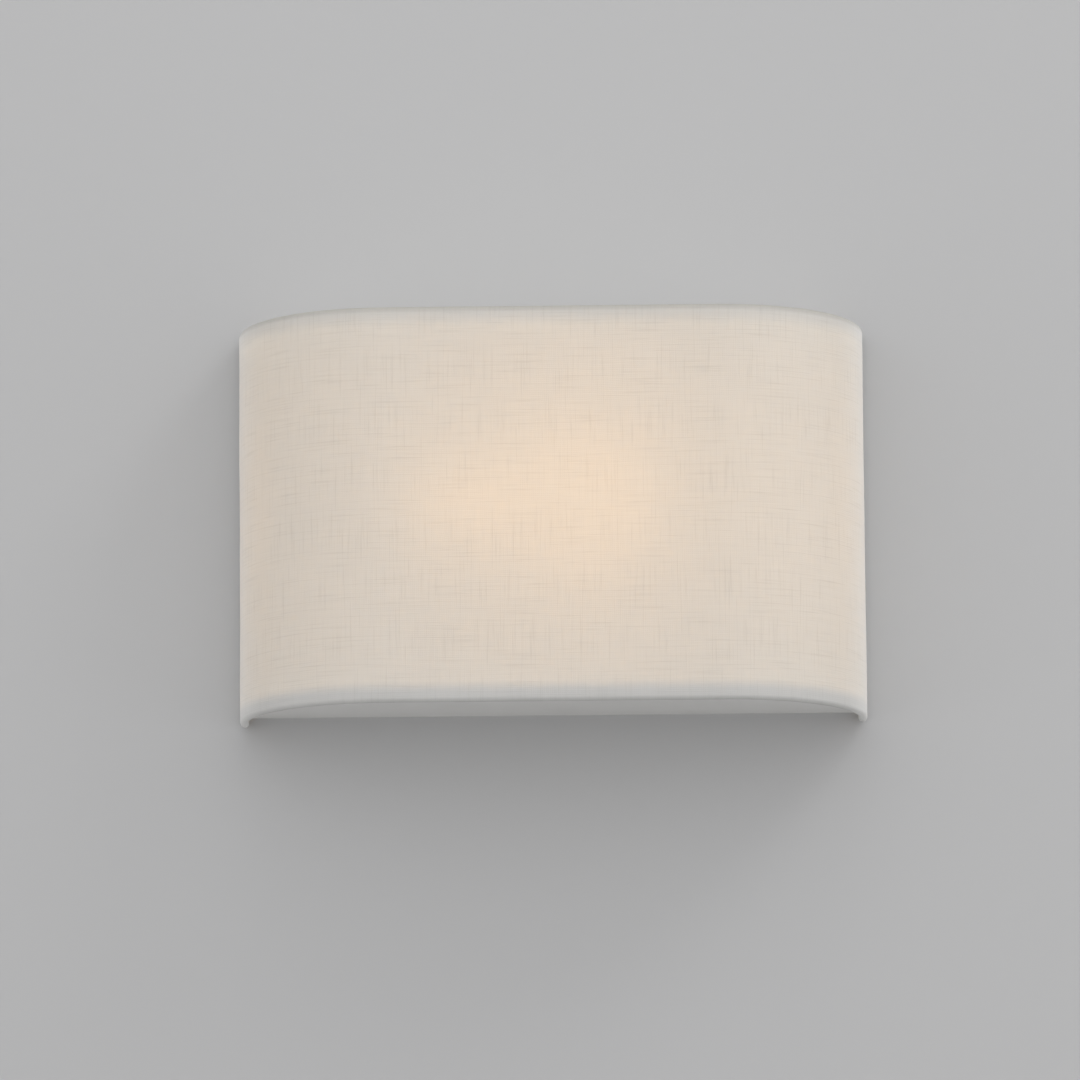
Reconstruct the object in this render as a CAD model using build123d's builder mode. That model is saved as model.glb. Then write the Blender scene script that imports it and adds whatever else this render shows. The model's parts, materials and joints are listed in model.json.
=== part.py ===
"""Fabric shade wall light.

A strip of linen is turned round a bent wire frame. The frame hangs on a folded steel chassis, which closes
the shade at the top and bottom and carries the lampholder, the lamp and the wiring.

+X is to the viewer's right, +Y goes into the wall and +Z is up. The origin is on the wall plane, at the middle
of the shade. All sizes are in millimetres.
"""

import os
from math import cos, radians, sin, sqrt, tan

from build123d import *

os.makedirs("parts", exist_ok=True)

# ---------------------------------------------------------------- driving sizes
# Shade
SHADE_WIDTH = 300.0
SHADE_HEIGHT = 190.0
CORNER_RADIUS = 71.0  # of the fabric's outer face, seen from above
SIDE_RUN = 7.0  # straight stretch between the wall and the corner
WALL_GAP = 0.5  # the shade's rear edges stay off the wall
FABRIC = 0.5
LINER = 0.35
LAMINATE_GAP = 0.05  # glue line between fabric and liner
WIRE = 3.0
ROLL_PLAY = 0.05  # fabric turned round the wire
WELD_GAP = 0.03
NOTCH_PLAY = 0.3  # fabric cut back beside a tab

# Tabs on the wires, and what they hook on
TAB = 1.0
TAB_WIDTH = 14.0
TAB_CORNER = 2.5
TAB_PLAY = 0.1  # tab to flange
TAB_TAIL = 7.0  # from the fixing's centre to the tab's rear end
SLOT_PLAY = 0.2  # slot to shank, each side
FIXING_X = 60.0  # fixings to the left and right of the middle
THUMB_SETBACK = 14.0  # from the fabric's front face
STUD_SETBACK = 11.0

# Thumb screws (M3), their washers and press-in nuts
THUMB_SHANK = 3.0
THUMB_LENGTH = 6.0
THUMB_HEAD = 12.0
THUMB_HEAD_HEIGHT = 2.5
KNURL_TEETH = 30
KNURL_DEPTH = 0.35
KNURL_EDGE = 0.4  # plain band above and below the knurl
WASHER_DIAMETER = 7.0
WASHER = 0.5
WASHER_BORE_PLAY = 0.1
STACK_GAP = 0.05  # between tab, washer and head
THREAD_PLAY = 0.05  # radial
NUT_BARREL = 4.2
NUT_FLANGE = 6.4
NUT_FLANGE_HEIGHT = 1.5
PRESS_GAP = 0.02  # pressed-in pieces to their holes

# Headed studs under the lower flange
STUD_NECK = 3.0
STUD_HEAD = 5.6
STUD_HEAD_HEIGHT = 0.7
STUD_TENON = 2.4
STUD_RIVET = 4.6
STUD_RIVET_HEIGHT = 0.8

# Chassis
SHEET = 1.0
CHASSIS_INSET = 6.0  # flange edge inside the fabric's outer face
BEND_INNER = 1.0
RETURN_DEPTH = 8.0
RETURN_SETBACK = 12.0  # end of a side return below or above the flange
RELIEF = 2.0
WALL_SLOT_SPACING = 160.0
WALL_SLOT_HEIGHT = 45.0  # above the middle
WALL_SLOT_LENGTH = 14.0
WALL_SLOT_WIDTH = 5.0

# Cable entry: a dished pocket with a rubber grommet
ENTRY_X = 0.0
ENTRY_Z = -52.0
DISH_RADIUS = 16.0
DISH_HEIGHT = 4.0
DISH_SLOPE = 4.0
DISH_BEND = 0.8
GROMMET_SEAT = 6.5  # radius of the hole in the dish
GROMMET_BORE = 4.5
GROMMET_FLANGE = 9.0
GROMMET_LIP = 1.5

# Lamp, screw cap of 14 mm
GLOBE_DIAMETER = 45.0
GLOBE_WALL = 1.4
GLOBE_TO_LINER = 15.0
GLOBE_X = 14.0  # centre of the globe to the right of the middle
LAMP_LENGTH = 78.0
PIP_RADIUS = 2.4
PIP_HEIGHT = 1.0
INSULATOR_HEIGHT = 3.5
INSULATOR_TOP = 4.2
CAP_RADIUS = 6.95
CAP_THREAD = 13.0
CAP_FLARE = 6.0
CAP_COLLAR = 8.5
CAP_EDGE = 0.5  # drawn in at the insulator
CAP_PROUD = 2.0  # of the lampholder's mouth
HOUSING_RIM = 16.6  # also the globe's neck
HOUSING_HOLLOW = 1.2  # how far the flank is drawn in between its ends

# Lampholder
HOLDER_LENGTH = 50.0
HOLDER_RADIUS = 13.5
HOLDER_SHOULDER = 9.0
HOLDER_TAPER = 7.0
SKIRT_RADIUS = 14.5
SKIRT_LENGTH = 12.0
MOUTH_RADIUS = 10.8
MOUTH_DEPTH = 5.5
SLEEVE = 0.6
SLEEVE_LENGTH = 16.0
CAP_PLAY = 0.08
SLEEVE_SEAT_PLAY = 0.05
SOCKET_DEPTH = 28.0
GRIP_RIBS = 16
GRIP_RIB_WIDTH = 1.4
GRIP_RIB_HEIGHT = 0.5
CONTACT = 0.4
CONTACT_WIDTH = 5.0
CONTACT_GAP = 0.05
CONTACT_BEND = 0.6
CONTACT_FOOT = 3.0  # flat on the socket's floor
CONTACT_LEG = 1.0  # sideways lean of the leg
CONTACT_CROWN = 3.0  # flat against the lamp's tip
CONTACT_TAIL = 2.5  # free end beyond the crown
STEM_RADIUS = 4.95
STEM_BORE = 3.7
STEM_ENTRY = 7.0  # into the holder
STEM_TAIL = 5.0  # past the bracket
STEM_PLAY = 0.1
STEM_CHAMFER = 0.5
LOCKNUT_FLATS = 14.0
LOCKNUT_HEIGHT = 3.0

# Lampholder bracket and its fixings (M4)
BRACKET = 1.5
BRACKET_WIDTH = 24.0
BRACKET_BEND = 1.5
ARM_FLAT = 0.2  # left between the two rounded corners of the arm
FOOT_LENGTH = 24.0
FOOT_STUD_X = 12.5  # from the bracket's upright arm
FOOT_STUD_SPACING = 13.0
M4 = 4.0
M4_CLEARANCE = 0.15  # radial, round a stud
M4_FLATS = 7.0
M4_NUT = 3.2
M4_WASHER = 9.0
M4_WASHER_HEIGHT = 0.8
M4_TAIL = 1.5  # stud past its nut
CLINCH_HEAD = 5.6
CLINCH_HEAD_HEIGHT = 0.7

# Terminal block
TERMINAL_X = 40.0
TERMINAL_Z = -52.0
POLE_COUNT = 3
POLE_PITCH = 11.0
POLE_WIDTH = 8.4
POLE_HEIGHT = 14.0
POLE_ROUND = 3.0
BLOCK_DEPTH = 18.0
BRIDGE_HEIGHT = 7.0
TUBE_OUTER = 4.8
TUBE_BORE = 3.3
TUBE_LENGTH = 14.0
TUBE_CENTRE = 6.5  # above the plate
TUBE_PLAY = 0.05
WIRE_PORT = 3.4
CLAMP_SCREW = 2.6
CLAMP_SCREW_SPACING = 8.0
CLAMP_HEAD = 3.8
CLAMP_HEAD_HEIGHT = 1.6
CLAMP_SLOT = 0.6
CLAMP_CHIMNEY = 4.4
BLOCK_SCREW = 2.4
BLOCK_SCREW_HEAD = 4.6
BLOCK_SCREW_HEAD_HEIGHT = 1.6
BLOCK_SCREW_PLAY = 0.05
BLOCK_SCREW_CLEARANCE = 0.15  # in the block
BLOCK_SCREW_HEAD_PLAY = 0.2

# Earth point
EARTH_X = -36.0
EARTH_Z = -56.0
LUG = 0.8
LUG_RADIUS = 4.2
LUG_NECK = 7.0  # from the stud to the barrel
LUG_BARREL = 6.0
LUG_BARREL_RADIUS = 1.7
LUG_NECK_WIDTH = 2.7
LUG_UNDERLAP = 1.0  # neck under the barrel
LUG_TURN = 45.0  # degrees above the horizontal
TOOTH_COUNT = 10
TOOTH_DEPTH = 0.6

# Inner wires
CORE = 1.8
CORE_SPACING = 2.4
CORE_IN_TUBE = 5.0  # length of a core inside the terminal tube or the lug
CORE_PLAY = 0.05

# ---------------------------------------------------------------- places worked out from them
SHADE_DEPTH = CORNER_RADIUS + SIDE_RUN
ROLL_RADIUS = FABRIC + ROLL_PLAY + WIRE / 2
ROLL = 2 * ROLL_RADIUS
RING_Z = SHADE_HEIGHT / 2 - ROLL_RADIUS
UPRIGHT_X = SHADE_WIDTH / 2 - ROLL_RADIUS
UPRIGHT_Y = -WALL_GAP - ROLL_RADIUS
TAB_FACE = RING_Z - WIRE / 2  # where a tab touches its wire
FLANGE_Z = TAB_FACE - TAB - TAB_PLAY  # outer faces of the chassis flanges
RING_FRONT = ROLL_RADIUS - SHADE_DEPTH
THUMB_Y = THUMB_SETBACK - SHADE_DEPTH
STUD_Y = STUD_SETBACK - SHADE_DEPTH
PLATE_HALF_WIDTH = SHADE_WIDTH / 2 - CHASSIS_INSET

LAMP_Y = FABRIC + LAMINATE_GAP + LINER + GLOBE_TO_LINER + GLOBE_DIAMETER / 2 - SHADE_DEPTH
LAMP_START = GLOBE_X + GLOBE_DIAMETER / 2 - LAMP_LENGTH  # outer end of the tip contact
CAP_START = LAMP_START + PIP_HEIGHT + INSULATOR_HEIGHT
CAP_END = CAP_START + CAP_THREAD + CAP_FLARE
HOLDER_MOUTH = CAP_END - CAP_PROUD
HOLDER_REAR = HOLDER_MOUTH - HOLDER_LENGTH
SOCKET_FLOOR = HOLDER_MOUTH - SOCKET_DEPTH
SLEEVE_INNER = CAP_RADIUS + CAP_PLAY
SLEEVE_OUTER = SLEEVE_INNER + SLEEVE
ARM_LEFT = HOLDER_REAR - BRACKET
FOOT_STUD = ARM_LEFT - FOOT_STUD_X

LAMP_AXIS = Axis((0, LAMP_Y, 0), (1, 0, 0))
LAMP_PLANE = Plane(origin=(0, LAMP_Y, 0), x_dir=(1, 0, 0), z_dir=(0, -1, 0))  # drawn as (x, radius)


UP = (Align.CENTER, Align.CENTER, Align.MIN)  # a shape that stands on its plane
TOLERANCE = 0.001


# ---------------------------------------------------------------- shared drawing helpers
def round_front(inset, rear, height=0):
    """Left side, corner, front, corner and right side of the shade, this far inside the fabric's face."""
    half = SHADE_WIDTH / 2 - inset
    radius = CORNER_RADIUS - inset
    with BuildLine(Plane.XY.offset(height)) as outline:
        left = Line((-half, rear), (-half, -SIDE_RUN))
        left_corner = JernArc(left @ 1, left % 1, radius, 90)
        front = Line(left_corner @ 1, (half - radius, inset - SHADE_DEPTH))
        right_corner = JernArc(front @ 1, front % 1, radius, 90)
        Line(right_corner @ 1, (half, rear))
    return outline.line


def round_front_face(inset, rear, mode=Mode.ADD):
    """The area inside round_front, closed along the rear."""
    half = SHADE_WIDTH / 2 - inset
    with BuildLine() as outline:
        add(round_front(inset, rear))
        Line((half, rear), (-half, rear))
    make_face(outline.line, mode=mode)


def wire_run(height, radius, mode=Mode.ADD):
    """A round bar along the shade's rim at this height, with rounded rear ends."""
    run = round_front(ROLL_RADIUS, UPRIGHT_Y, height)
    with BuildSketch(Plane(origin=run @ 0, z_dir=run % 0)) as section:
        Circle(radius)
    sweep(section.sketch, path=run, mode=mode)
    with Locations(run @ 0, run @ 1):
        Sphere(radius, mode=mode)


def on_plate(x, z):
    """A plane for turned pieces that stand on the back plate, drawn as (radius, distance from the wall)."""
    return Plane(origin=(x, 0, z), x_dir=(1, 0, 0), z_dir=(0, 0, -1))


def upright_plane(x, y):
    """A plane for turned pieces with a vertical axis, drawn as (radius, height)."""
    return Plane(origin=(x, y, 0), x_dir=(1, 0, 0), z_dir=(0, -1, 0))


def turned(plane, axis, points):
    """A piece turned on a lathe from its half section."""
    with BuildSketch(plane) as half_section:
        with BuildLine():
            Polyline(*points, close=True)
        make_face()
    revolve(half_section.sketch, axis=axis)


def turned_on_plate(x, z, points):
    turned(on_plate(x, z), Axis((x, 0, z), (0, -1, 0)), points)


def turned_upright(x, y, points):
    turned(upright_plane(x, y), Axis((x, y, 0), (0, 0, 1)), points)


def front_plane(x, z, distance):
    """A plane that faces the viewer, this far from the wall."""
    return Plane(origin=(x, -distance, z), x_dir=(1, 0, 0), z_dir=(0, -1, 0))


def clinch_stud(x, z, diameter, tip):
    """A stud pressed in from behind the plate, its head flush with the plate's rear face."""
    head = CLINCH_HEAD / 2
    shank = diameter / 2
    points = [(0, 0), (head, 0), (head, CLINCH_HEAD_HEIGHT), (shank, CLINCH_HEAD_HEIGHT), (shank, tip), (0, tip)]
    turned_on_plate(x, z, points)


def clinch_hole(x, z, diameter):
    """The stepped hole that clinch_stud is pressed into."""
    with Locations(front_plane(x, z, 0)):
        Cylinder(diameter / 2 + PRESS_GAP, SHEET, align=UP, mode=Mode.SUBTRACT)
        Cylinder(CLINCH_HEAD / 2 + PRESS_GAP, CLINCH_HEAD_HEIGHT + PRESS_GAP, align=UP, mode=Mode.SUBTRACT)


def hex_nut(x, z, base, flats, height, bore):
    """A hexagon nut on a stud, its base this far from the wall."""
    with BuildSketch(front_plane(x, z, base)) as section:
        RegularPolygon(flats / 2, 6, major_radius=False)
        Circle(bore, mode=Mode.SUBTRACT)
    extrude(section.sketch, amount=height)


def washer(x, z, base, diameter, height, bore):
    with BuildSketch(front_plane(x, z, base)) as section:
        Circle(diameter / 2)
        Circle(bore, mode=Mode.SUBTRACT)
    extrude(section.sketch, amount=height)


def bend_radii(points):
    """Bend radii of a wire along these points, each as large as its two runs allow."""
    radii = []
    for before, here, after in zip(points, points[1:], points[2:]):
        run_in = Vector(here) - Vector(before)
        run_out = Vector(after) - Vector(here)
        turn = radians(run_in.get_angle(run_out))
        radii.append(0.45 * min(run_in.length, run_out.length) / tan(turn / 2))
    return radii


def core_wire(name, points):
    """An insulated core: straight runs joined by tangent arcs."""
    radii = bend_radii(points)
    with BuildLine() as route:
        FilletPolyline(*points, radius=radii)
    with BuildSketch(Plane(origin=route.line @ 0, z_dir=route.line % 0)) as section:
        Circle(CORE / 2)
    sweep(section.sketch, path=route.line)
    print(name, "length", round(route.wires()[0].length, 1), "bend radii", [round(radius, 1) for radius in radii])


# ---------------------------------------------------------------- shade: fabric, liner and frame
# The linen is turned round the wires at the top, the bottom and both rear edges.
with BuildPart() as shade_fabric:
    with BuildSketch(Plane.XY.offset(-RING_Z)):
        round_front_face(0, UPRIGHT_Y)
        round_front_face(FABRIC, UPRIGHT_Y, mode=Mode.SUBTRACT)
        with Locations((-UPRIGHT_X, UPRIGHT_Y), (UPRIGHT_X, UPRIGHT_Y)):
            Circle(ROLL_RADIUS)
    extrude(amount=2 * RING_Z)
    wire_run(RING_Z, ROLL_RADIUS)
    wire_run(-RING_Z, ROLL_RADIUS)
    wire_run(RING_Z, WIRE / 2 + ROLL_PLAY, mode=Mode.SUBTRACT)
    wire_run(-RING_Z, WIRE / 2 + ROLL_PLAY, mode=Mode.SUBTRACT)
    with Locations((-UPRIGHT_X, UPRIGHT_Y), (UPRIGHT_X, UPRIGHT_Y)):
        Cylinder(WIRE / 2 + ROLL_PLAY, 2 * RING_Z, mode=Mode.SUBTRACT)
    # The turned edge is cut back where a tab comes through it.
    notch = TAB_WIDTH + 2 * NOTCH_PLAY
    for side in (-1, 1):
        with Locations(
            (FIXING_X, RING_FRONT - NOTCH_PLAY, side * (TAB_FACE + NOTCH_PLAY)),
            (-FIXING_X, RING_FRONT - NOTCH_PLAY, side * (TAB_FACE + NOTCH_PLAY)),
        ):
            low = Align.MAX if side > 0 else Align.MIN
            Box(notch, ROLL, ROLL, align=(Align.CENTER, Align.MIN, low), mode=Mode.SUBTRACT)
shade_fabric.part.label = "shade_fabric"
export_step(shade_fabric.part, "parts/shade_fabric.step")

# The liner is glued inside the linen and stops short of the rolled edges.
with BuildPart() as shade_liner:
    liner_rear = -WALL_GAP - ROLL - LAMINATE_GAP
    liner_z = SHADE_HEIGHT / 2 - ROLL - LAMINATE_GAP
    with BuildSketch(Plane.XY.offset(-liner_z)):
        round_front_face(FABRIC + LAMINATE_GAP, liner_rear)
        round_front_face(FABRIC + LAMINATE_GAP + LINER, liner_rear, mode=Mode.SUBTRACT)
    extrude(amount=2 * liner_z)
shade_liner.part.label = "shade_liner"
export_step(shade_liner.part, "parts/shade_liner.step")

with BuildPart() as top_wire:
    wire_run(RING_Z, WIRE / 2)
top_wire.part.label = "top_wire"
export_step(top_wire.part, "parts/top_wire.step")

with BuildPart() as bottom_wire:
    wire_run(-RING_Z, WIRE / 2)
bottom_wire.part.label = "bottom_wire"
export_step(bottom_wire.part, "parts/bottom_wire.step")

# Each rear upright is coped at both ends to fit the rim wires.
with BuildPart() as rear_uprights:
    with Locations((-UPRIGHT_X, UPRIGHT_Y), (UPRIGHT_X, UPRIGHT_Y)):
        Cylinder(WIRE / 2, 2 * RING_Z)
    wire_run(RING_Z, WIRE / 2 + WELD_GAP, mode=Mode.SUBTRACT)
    wire_run(-RING_Z, WIRE / 2 + WELD_GAP, mode=Mode.SUBTRACT)
rear_uprights.part.label = "rear_uprights"
export_step(rear_uprights.part, "parts/rear_uprights.step")


def slotted_tabs(base, fixing_y, shank):
    """Two tabs that reach rearward from the front wire, each with a slot that is open at the rear."""
    rear = fixing_y + TAB_TAIL
    slot = shank + 2 * SLOT_PLAY
    with BuildSketch(Plane.XY.offset(base)) as outline:
        with Locations((-FIXING_X, RING_FRONT), (FIXING_X, RING_FRONT)):
            Rectangle(TAB_WIDTH, rear - RING_FRONT, align=(Align.CENTER, Align.MIN))
        fillet(outline.vertices().group_by(Axis.Y)[-1], TAB_CORNER)
        with Locations((-FIXING_X, fixing_y), (FIXING_X, fixing_y)):
            Circle(slot / 2, mode=Mode.SUBTRACT)
            Rectangle(slot, TAB_TAIL, align=(Align.CENTER, Align.MIN), mode=Mode.SUBTRACT)
    extrude(outline.sketch, amount=TAB)


with BuildPart() as top_tabs:
    slotted_tabs(TAB_FACE - TAB, THUMB_Y, THUMB_SHANK)
top_tabs.part.label = "top_tabs"
export_step(top_tabs.part, "parts/top_tabs.step")

with BuildPart() as bottom_tabs:
    slotted_tabs(-TAB_FACE, STUD_Y, STUD_NECK)
bottom_tabs.part.label = "bottom_tabs"
export_step(bottom_tabs.part, "parts/bottom_tabs.step")

# ---------------------------------------------------------------- thumb screws, washers, nuts and studs
WASHER_BASE = TAB_FACE + STACK_GAP
HEAD_BASE = WASHER_BASE + WASHER + STACK_GAP
SHANK_RADIUS = THUMB_SHANK / 2

for side, x in (("left", -FIXING_X), ("right", FIXING_X)):
    with BuildPart() as thumb_washer:
        with BuildSketch(Plane.XY.offset(WASHER_BASE)):
            with Locations((x, THUMB_Y)):
                Circle(WASHER_DIAMETER / 2)
                Circle(SHANK_RADIUS + WASHER_BORE_PLAY, mode=Mode.SUBTRACT)
        extrude(amount=WASHER)
    thumb_washer.part.label = f"thumb_washer_{side}"
    export_step(thumb_washer.part, f"parts/thumb_washer_{side}.step")

    # Low knurled head: the knurl is a ring of straight teeth between two plain edges.
    with BuildPart() as thumb_screw:
        with Locations((x, THUMB_Y, HEAD_BASE)):
            Cylinder(SHANK_RADIUS, THUMB_LENGTH, align=(Align.CENTER, Align.CENTER, Align.MAX))
            Cylinder(THUMB_HEAD / 2 - KNURL_DEPTH, THUMB_HEAD_HEIGHT, align=UP)
        chamfer(thumb_screw.edges().group_by(Axis.Z)[-1], KNURL_DEPTH)
        tip_radius = THUMB_HEAD / 2
        root_radius = tip_radius - KNURL_DEPTH
        step = 180 / KNURL_TEETH
        knurl = [
            (radius * cos(radians(angle)), radius * sin(radians(angle)))
            for tooth in range(KNURL_TEETH)
            for radius, angle in ((tip_radius, 2 * tooth * step), (root_radius, (2 * tooth + 1) * step))
        ]
        with BuildSketch(Plane(origin=(x, THUMB_Y, HEAD_BASE + KNURL_EDGE))):
            with BuildLine():
                Polyline(*knurl, close=True)
            make_face()
        extrude(amount=THUMB_HEAD_HEIGHT - 2 * KNURL_EDGE)
    thumb_screw.part.label = f"thumb_screw_{side}"
    export_step(thumb_screw.part, f"parts/thumb_screw_{side}.step")

with BuildPart() as press_nuts:
    bore = SHANK_RADIUS + THREAD_PLAY
    barrel = NUT_BARREL / 2
    flange = NUT_FLANGE / 2
    inside = FLANGE_Z - SHEET
    for x in (-FIXING_X, FIXING_X):
        turned_upright(
            x,
            THUMB_Y,
            [
                (bore, FLANGE_Z),
                (barrel, FLANGE_Z),
                (barrel, inside),
                (flange, inside),
                (flange, inside - NUT_FLANGE_HEIGHT),
                (bore, inside - NUT_FLANGE_HEIGHT),
            ],
        )
press_nuts.part.label = "press_nuts"
export_step(press_nuts.part, "parts/press_nuts.step")

with BuildPart() as locating_studs:
    neck = STUD_NECK / 2
    head = STUD_HEAD / 2
    tenon = STUD_TENON / 2
    rivet = STUD_RIVET / 2
    neck_end = -FLANGE_Z - TAB - 2 * TAB_PLAY
    inside = -FLANGE_Z + SHEET
    for x in (-FIXING_X, FIXING_X):
        turned_upright(
            x,
            STUD_Y,
            [
                (0, neck_end - STUD_HEAD_HEIGHT),
                (head - STUD_HEAD_HEIGHT / 2, neck_end - STUD_HEAD_HEIGHT),
                (head, neck_end - STUD_HEAD_HEIGHT / 2),
                (head, neck_end),
                (neck, neck_end),
                (neck, -FLANGE_Z),
                (tenon, -FLANGE_Z),
                (tenon, inside),
                (rivet, inside),
                (rivet - STUD_RIVET_HEIGHT, inside + STUD_RIVET_HEIGHT),
                (0, inside + STUD_RIVET_HEIGHT),
            ],
        )
locating_studs.part.label = "locating_studs"
export_step(locating_studs.part, "parts/locating_studs.step")

# ---------------------------------------------------------------- chassis
# One folded blank: the back plate, a D-shaped flange at each end and two side returns.
POLE_OFFSETS = [POLE_PITCH * (pole - (POLE_COUNT - 1) / 2) for pole in range(POLE_COUNT)]
BLOCK_SCREW_X = TERMINAL_X + (POLE_OFFSETS[0] + POLE_OFFSETS[1]) / 2

with BuildPart() as chassis:
    with BuildSketch(Plane.XZ):
        Rectangle(2 * PLATE_HALF_WIDTH, 2 * FLANGE_Z)
    extrude(amount=SHEET)
    for base in (FLANGE_Z - SHEET, -FLANGE_Z):
        with BuildSketch(Plane.XY.offset(base)):
            round_front_face(CHASSIS_INSET, 0)
        extrude(amount=SHEET)
    long_edges = chassis.edges().filter_by(Axis.X).filter_by(lambda edge: edge.length > PLATE_HALF_WIDTH)
    inner_folds = long_edges.filter_by(lambda edge: abs(edge.center().Y + SHEET) < TOLERANCE)
    outer_folds = long_edges.filter_by(
        lambda edge: abs(edge.center().Y) < TOLERANCE and abs(abs(edge.center().Z) - FLANGE_Z) < TOLERANCE
    )
    fillet(inner_folds, BEND_INNER)
    fillet(outer_folds, BEND_INNER + SHEET)

    # Side returns stiffen the plate. A relief at each end keeps their folds clear of the flanges.
    return_half = FLANGE_Z - RETURN_SETBACK
    with Locations((PLATE_HALF_WIDTH, 0, 0), (-PLATE_HALF_WIDTH, 0, 0)):
        Box(2 * (RELIEF + SHEET), 2 * SHEET, 2 * (return_half + RELIEF), mode=Mode.SUBTRACT)
    for side in (-1, 1):
        edge_x = side * PLATE_HALF_WIDTH
        web_x = edge_x - side * (RELIEF + SHEET)
        inner_x = edge_x - side * SHEET
        with BuildSketch(Plane.XY.offset(-return_half)) as section:
            with BuildLine():
                Polyline(
                    (web_x, 0),
                    (edge_x, 0),
                    (edge_x, -RETURN_DEPTH),
                    (inner_x, -RETURN_DEPTH),
                    (inner_x, -SHEET),
                    (web_x, -SHEET),
                    close=True,
                )
            make_face()
            fillet(section.vertices().sort_by_distance((edge_x, 0))[0], BEND_INNER + SHEET)
            fillet(section.vertices().sort_by_distance((inner_x, -SHEET))[0], BEND_INNER)
        extrude(amount=2 * return_half)

    # Dished cable entry, pressed forward so that the grommet stays clear of the wall.
    with Locations(front_plane(ENTRY_X, ENTRY_Z, 0)):
        Cylinder(DISH_RADIUS, SHEET, align=UP, mode=Mode.SUBTRACT)
    dish_rim = DISH_RADIUS - DISH_SLOPE
    wall_shift = SHEET / 2
    turned_on_plate(
        ENTRY_X,
        ENTRY_Z,
        [
            (DISH_RADIUS - wall_shift, 0),
            (DISH_RADIUS, 0),
            (DISH_RADIUS, SHEET),
            (dish_rim, SHEET + DISH_HEIGHT),
            (GROMMET_SEAT, SHEET + DISH_HEIGHT),
            (GROMMET_SEAT, DISH_HEIGHT),
            (dish_rim - wall_shift, DISH_HEIGHT),
        ],
    )
    dish_edges = chassis.edges().filter_by(GeomType.CIRCLE).filter_by(
        lambda edge: abs(edge.radius - dish_rim) < TOLERANCE
    )
    fillet(dish_edges, DISH_BEND)

    # Wall slots
    with BuildSketch(Plane.XZ):
        with Locations((-WALL_SLOT_SPACING / 2, WALL_SLOT_HEIGHT), (WALL_SLOT_SPACING / 2, WALL_SLOT_HEIGHT)):
            SlotOverall(WALL_SLOT_LENGTH, WALL_SLOT_WIDTH)
    extrude(amount=SHEET, mode=Mode.SUBTRACT)

    # Holes for what is pressed, riveted or screwed into the sheet
    clinch_hole(FOOT_STUD, FOOT_STUD_SPACING / 2, M4)
    clinch_hole(FOOT_STUD, -FOOT_STUD_SPACING / 2, M4)
    clinch_hole(EARTH_X, EARTH_Z, M4)
    with Locations(front_plane(BLOCK_SCREW_X, TERMINAL_Z, 0)):
        Cylinder(BLOCK_SCREW / 2 + BLOCK_SCREW_PLAY, SHEET, align=UP, mode=Mode.SUBTRACT)
    with Locations((-FIXING_X, THUMB_Y, FLANGE_Z), (FIXING_X, THUMB_Y, FLANGE_Z)):
        Cylinder(NUT_BARREL / 2 + PRESS_GAP, 2 * SHEET, mode=Mode.SUBTRACT)
    with Locations((-FIXING_X, STUD_Y, -FLANGE_Z), (FIXING_X, STUD_Y, -FLANGE_Z)):
        Cylinder(STUD_TENON / 2 + PRESS_GAP, 2 * SHEET, mode=Mode.SUBTRACT)
chassis.part.label = "chassis"
export_step(chassis.part, "parts/chassis.step")

with BuildPart() as cable_grommet:
    seat = GROMMET_SEAT - PRESS_GAP
    rear_face = DISH_HEIGHT - PRESS_GAP
    front_face = DISH_HEIGHT + SHEET + PRESS_GAP
    lip = GROMMET_LIP
    turned_on_plate(
        ENTRY_X,
        ENTRY_Z,
        [
            (GROMMET_BORE, rear_face - lip),
            (GROMMET_FLANGE - lip / 2, rear_face - lip),
            (GROMMET_FLANGE, rear_face - lip / 2),
            (GROMMET_FLANGE, rear_face),
            (seat, rear_face),
            (seat, front_face),
            (GROMMET_FLANGE, front_face),
            (GROMMET_FLANGE, front_face + lip / 2),
            (GROMMET_FLANGE - lip / 2, front_face + lip),
            (GROMMET_BORE, front_face + lip),
        ],
    )
cable_grommet.part.label = "cable_grommet"
export_step(cable_grommet.part, "parts/cable_grommet.step")

# ---------------------------------------------------------------- lampholder and its bracket
FOOT_TOP = SHEET + BRACKET
NUT_BASE = FOOT_TOP + M4_WASHER_HEIGHT

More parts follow.
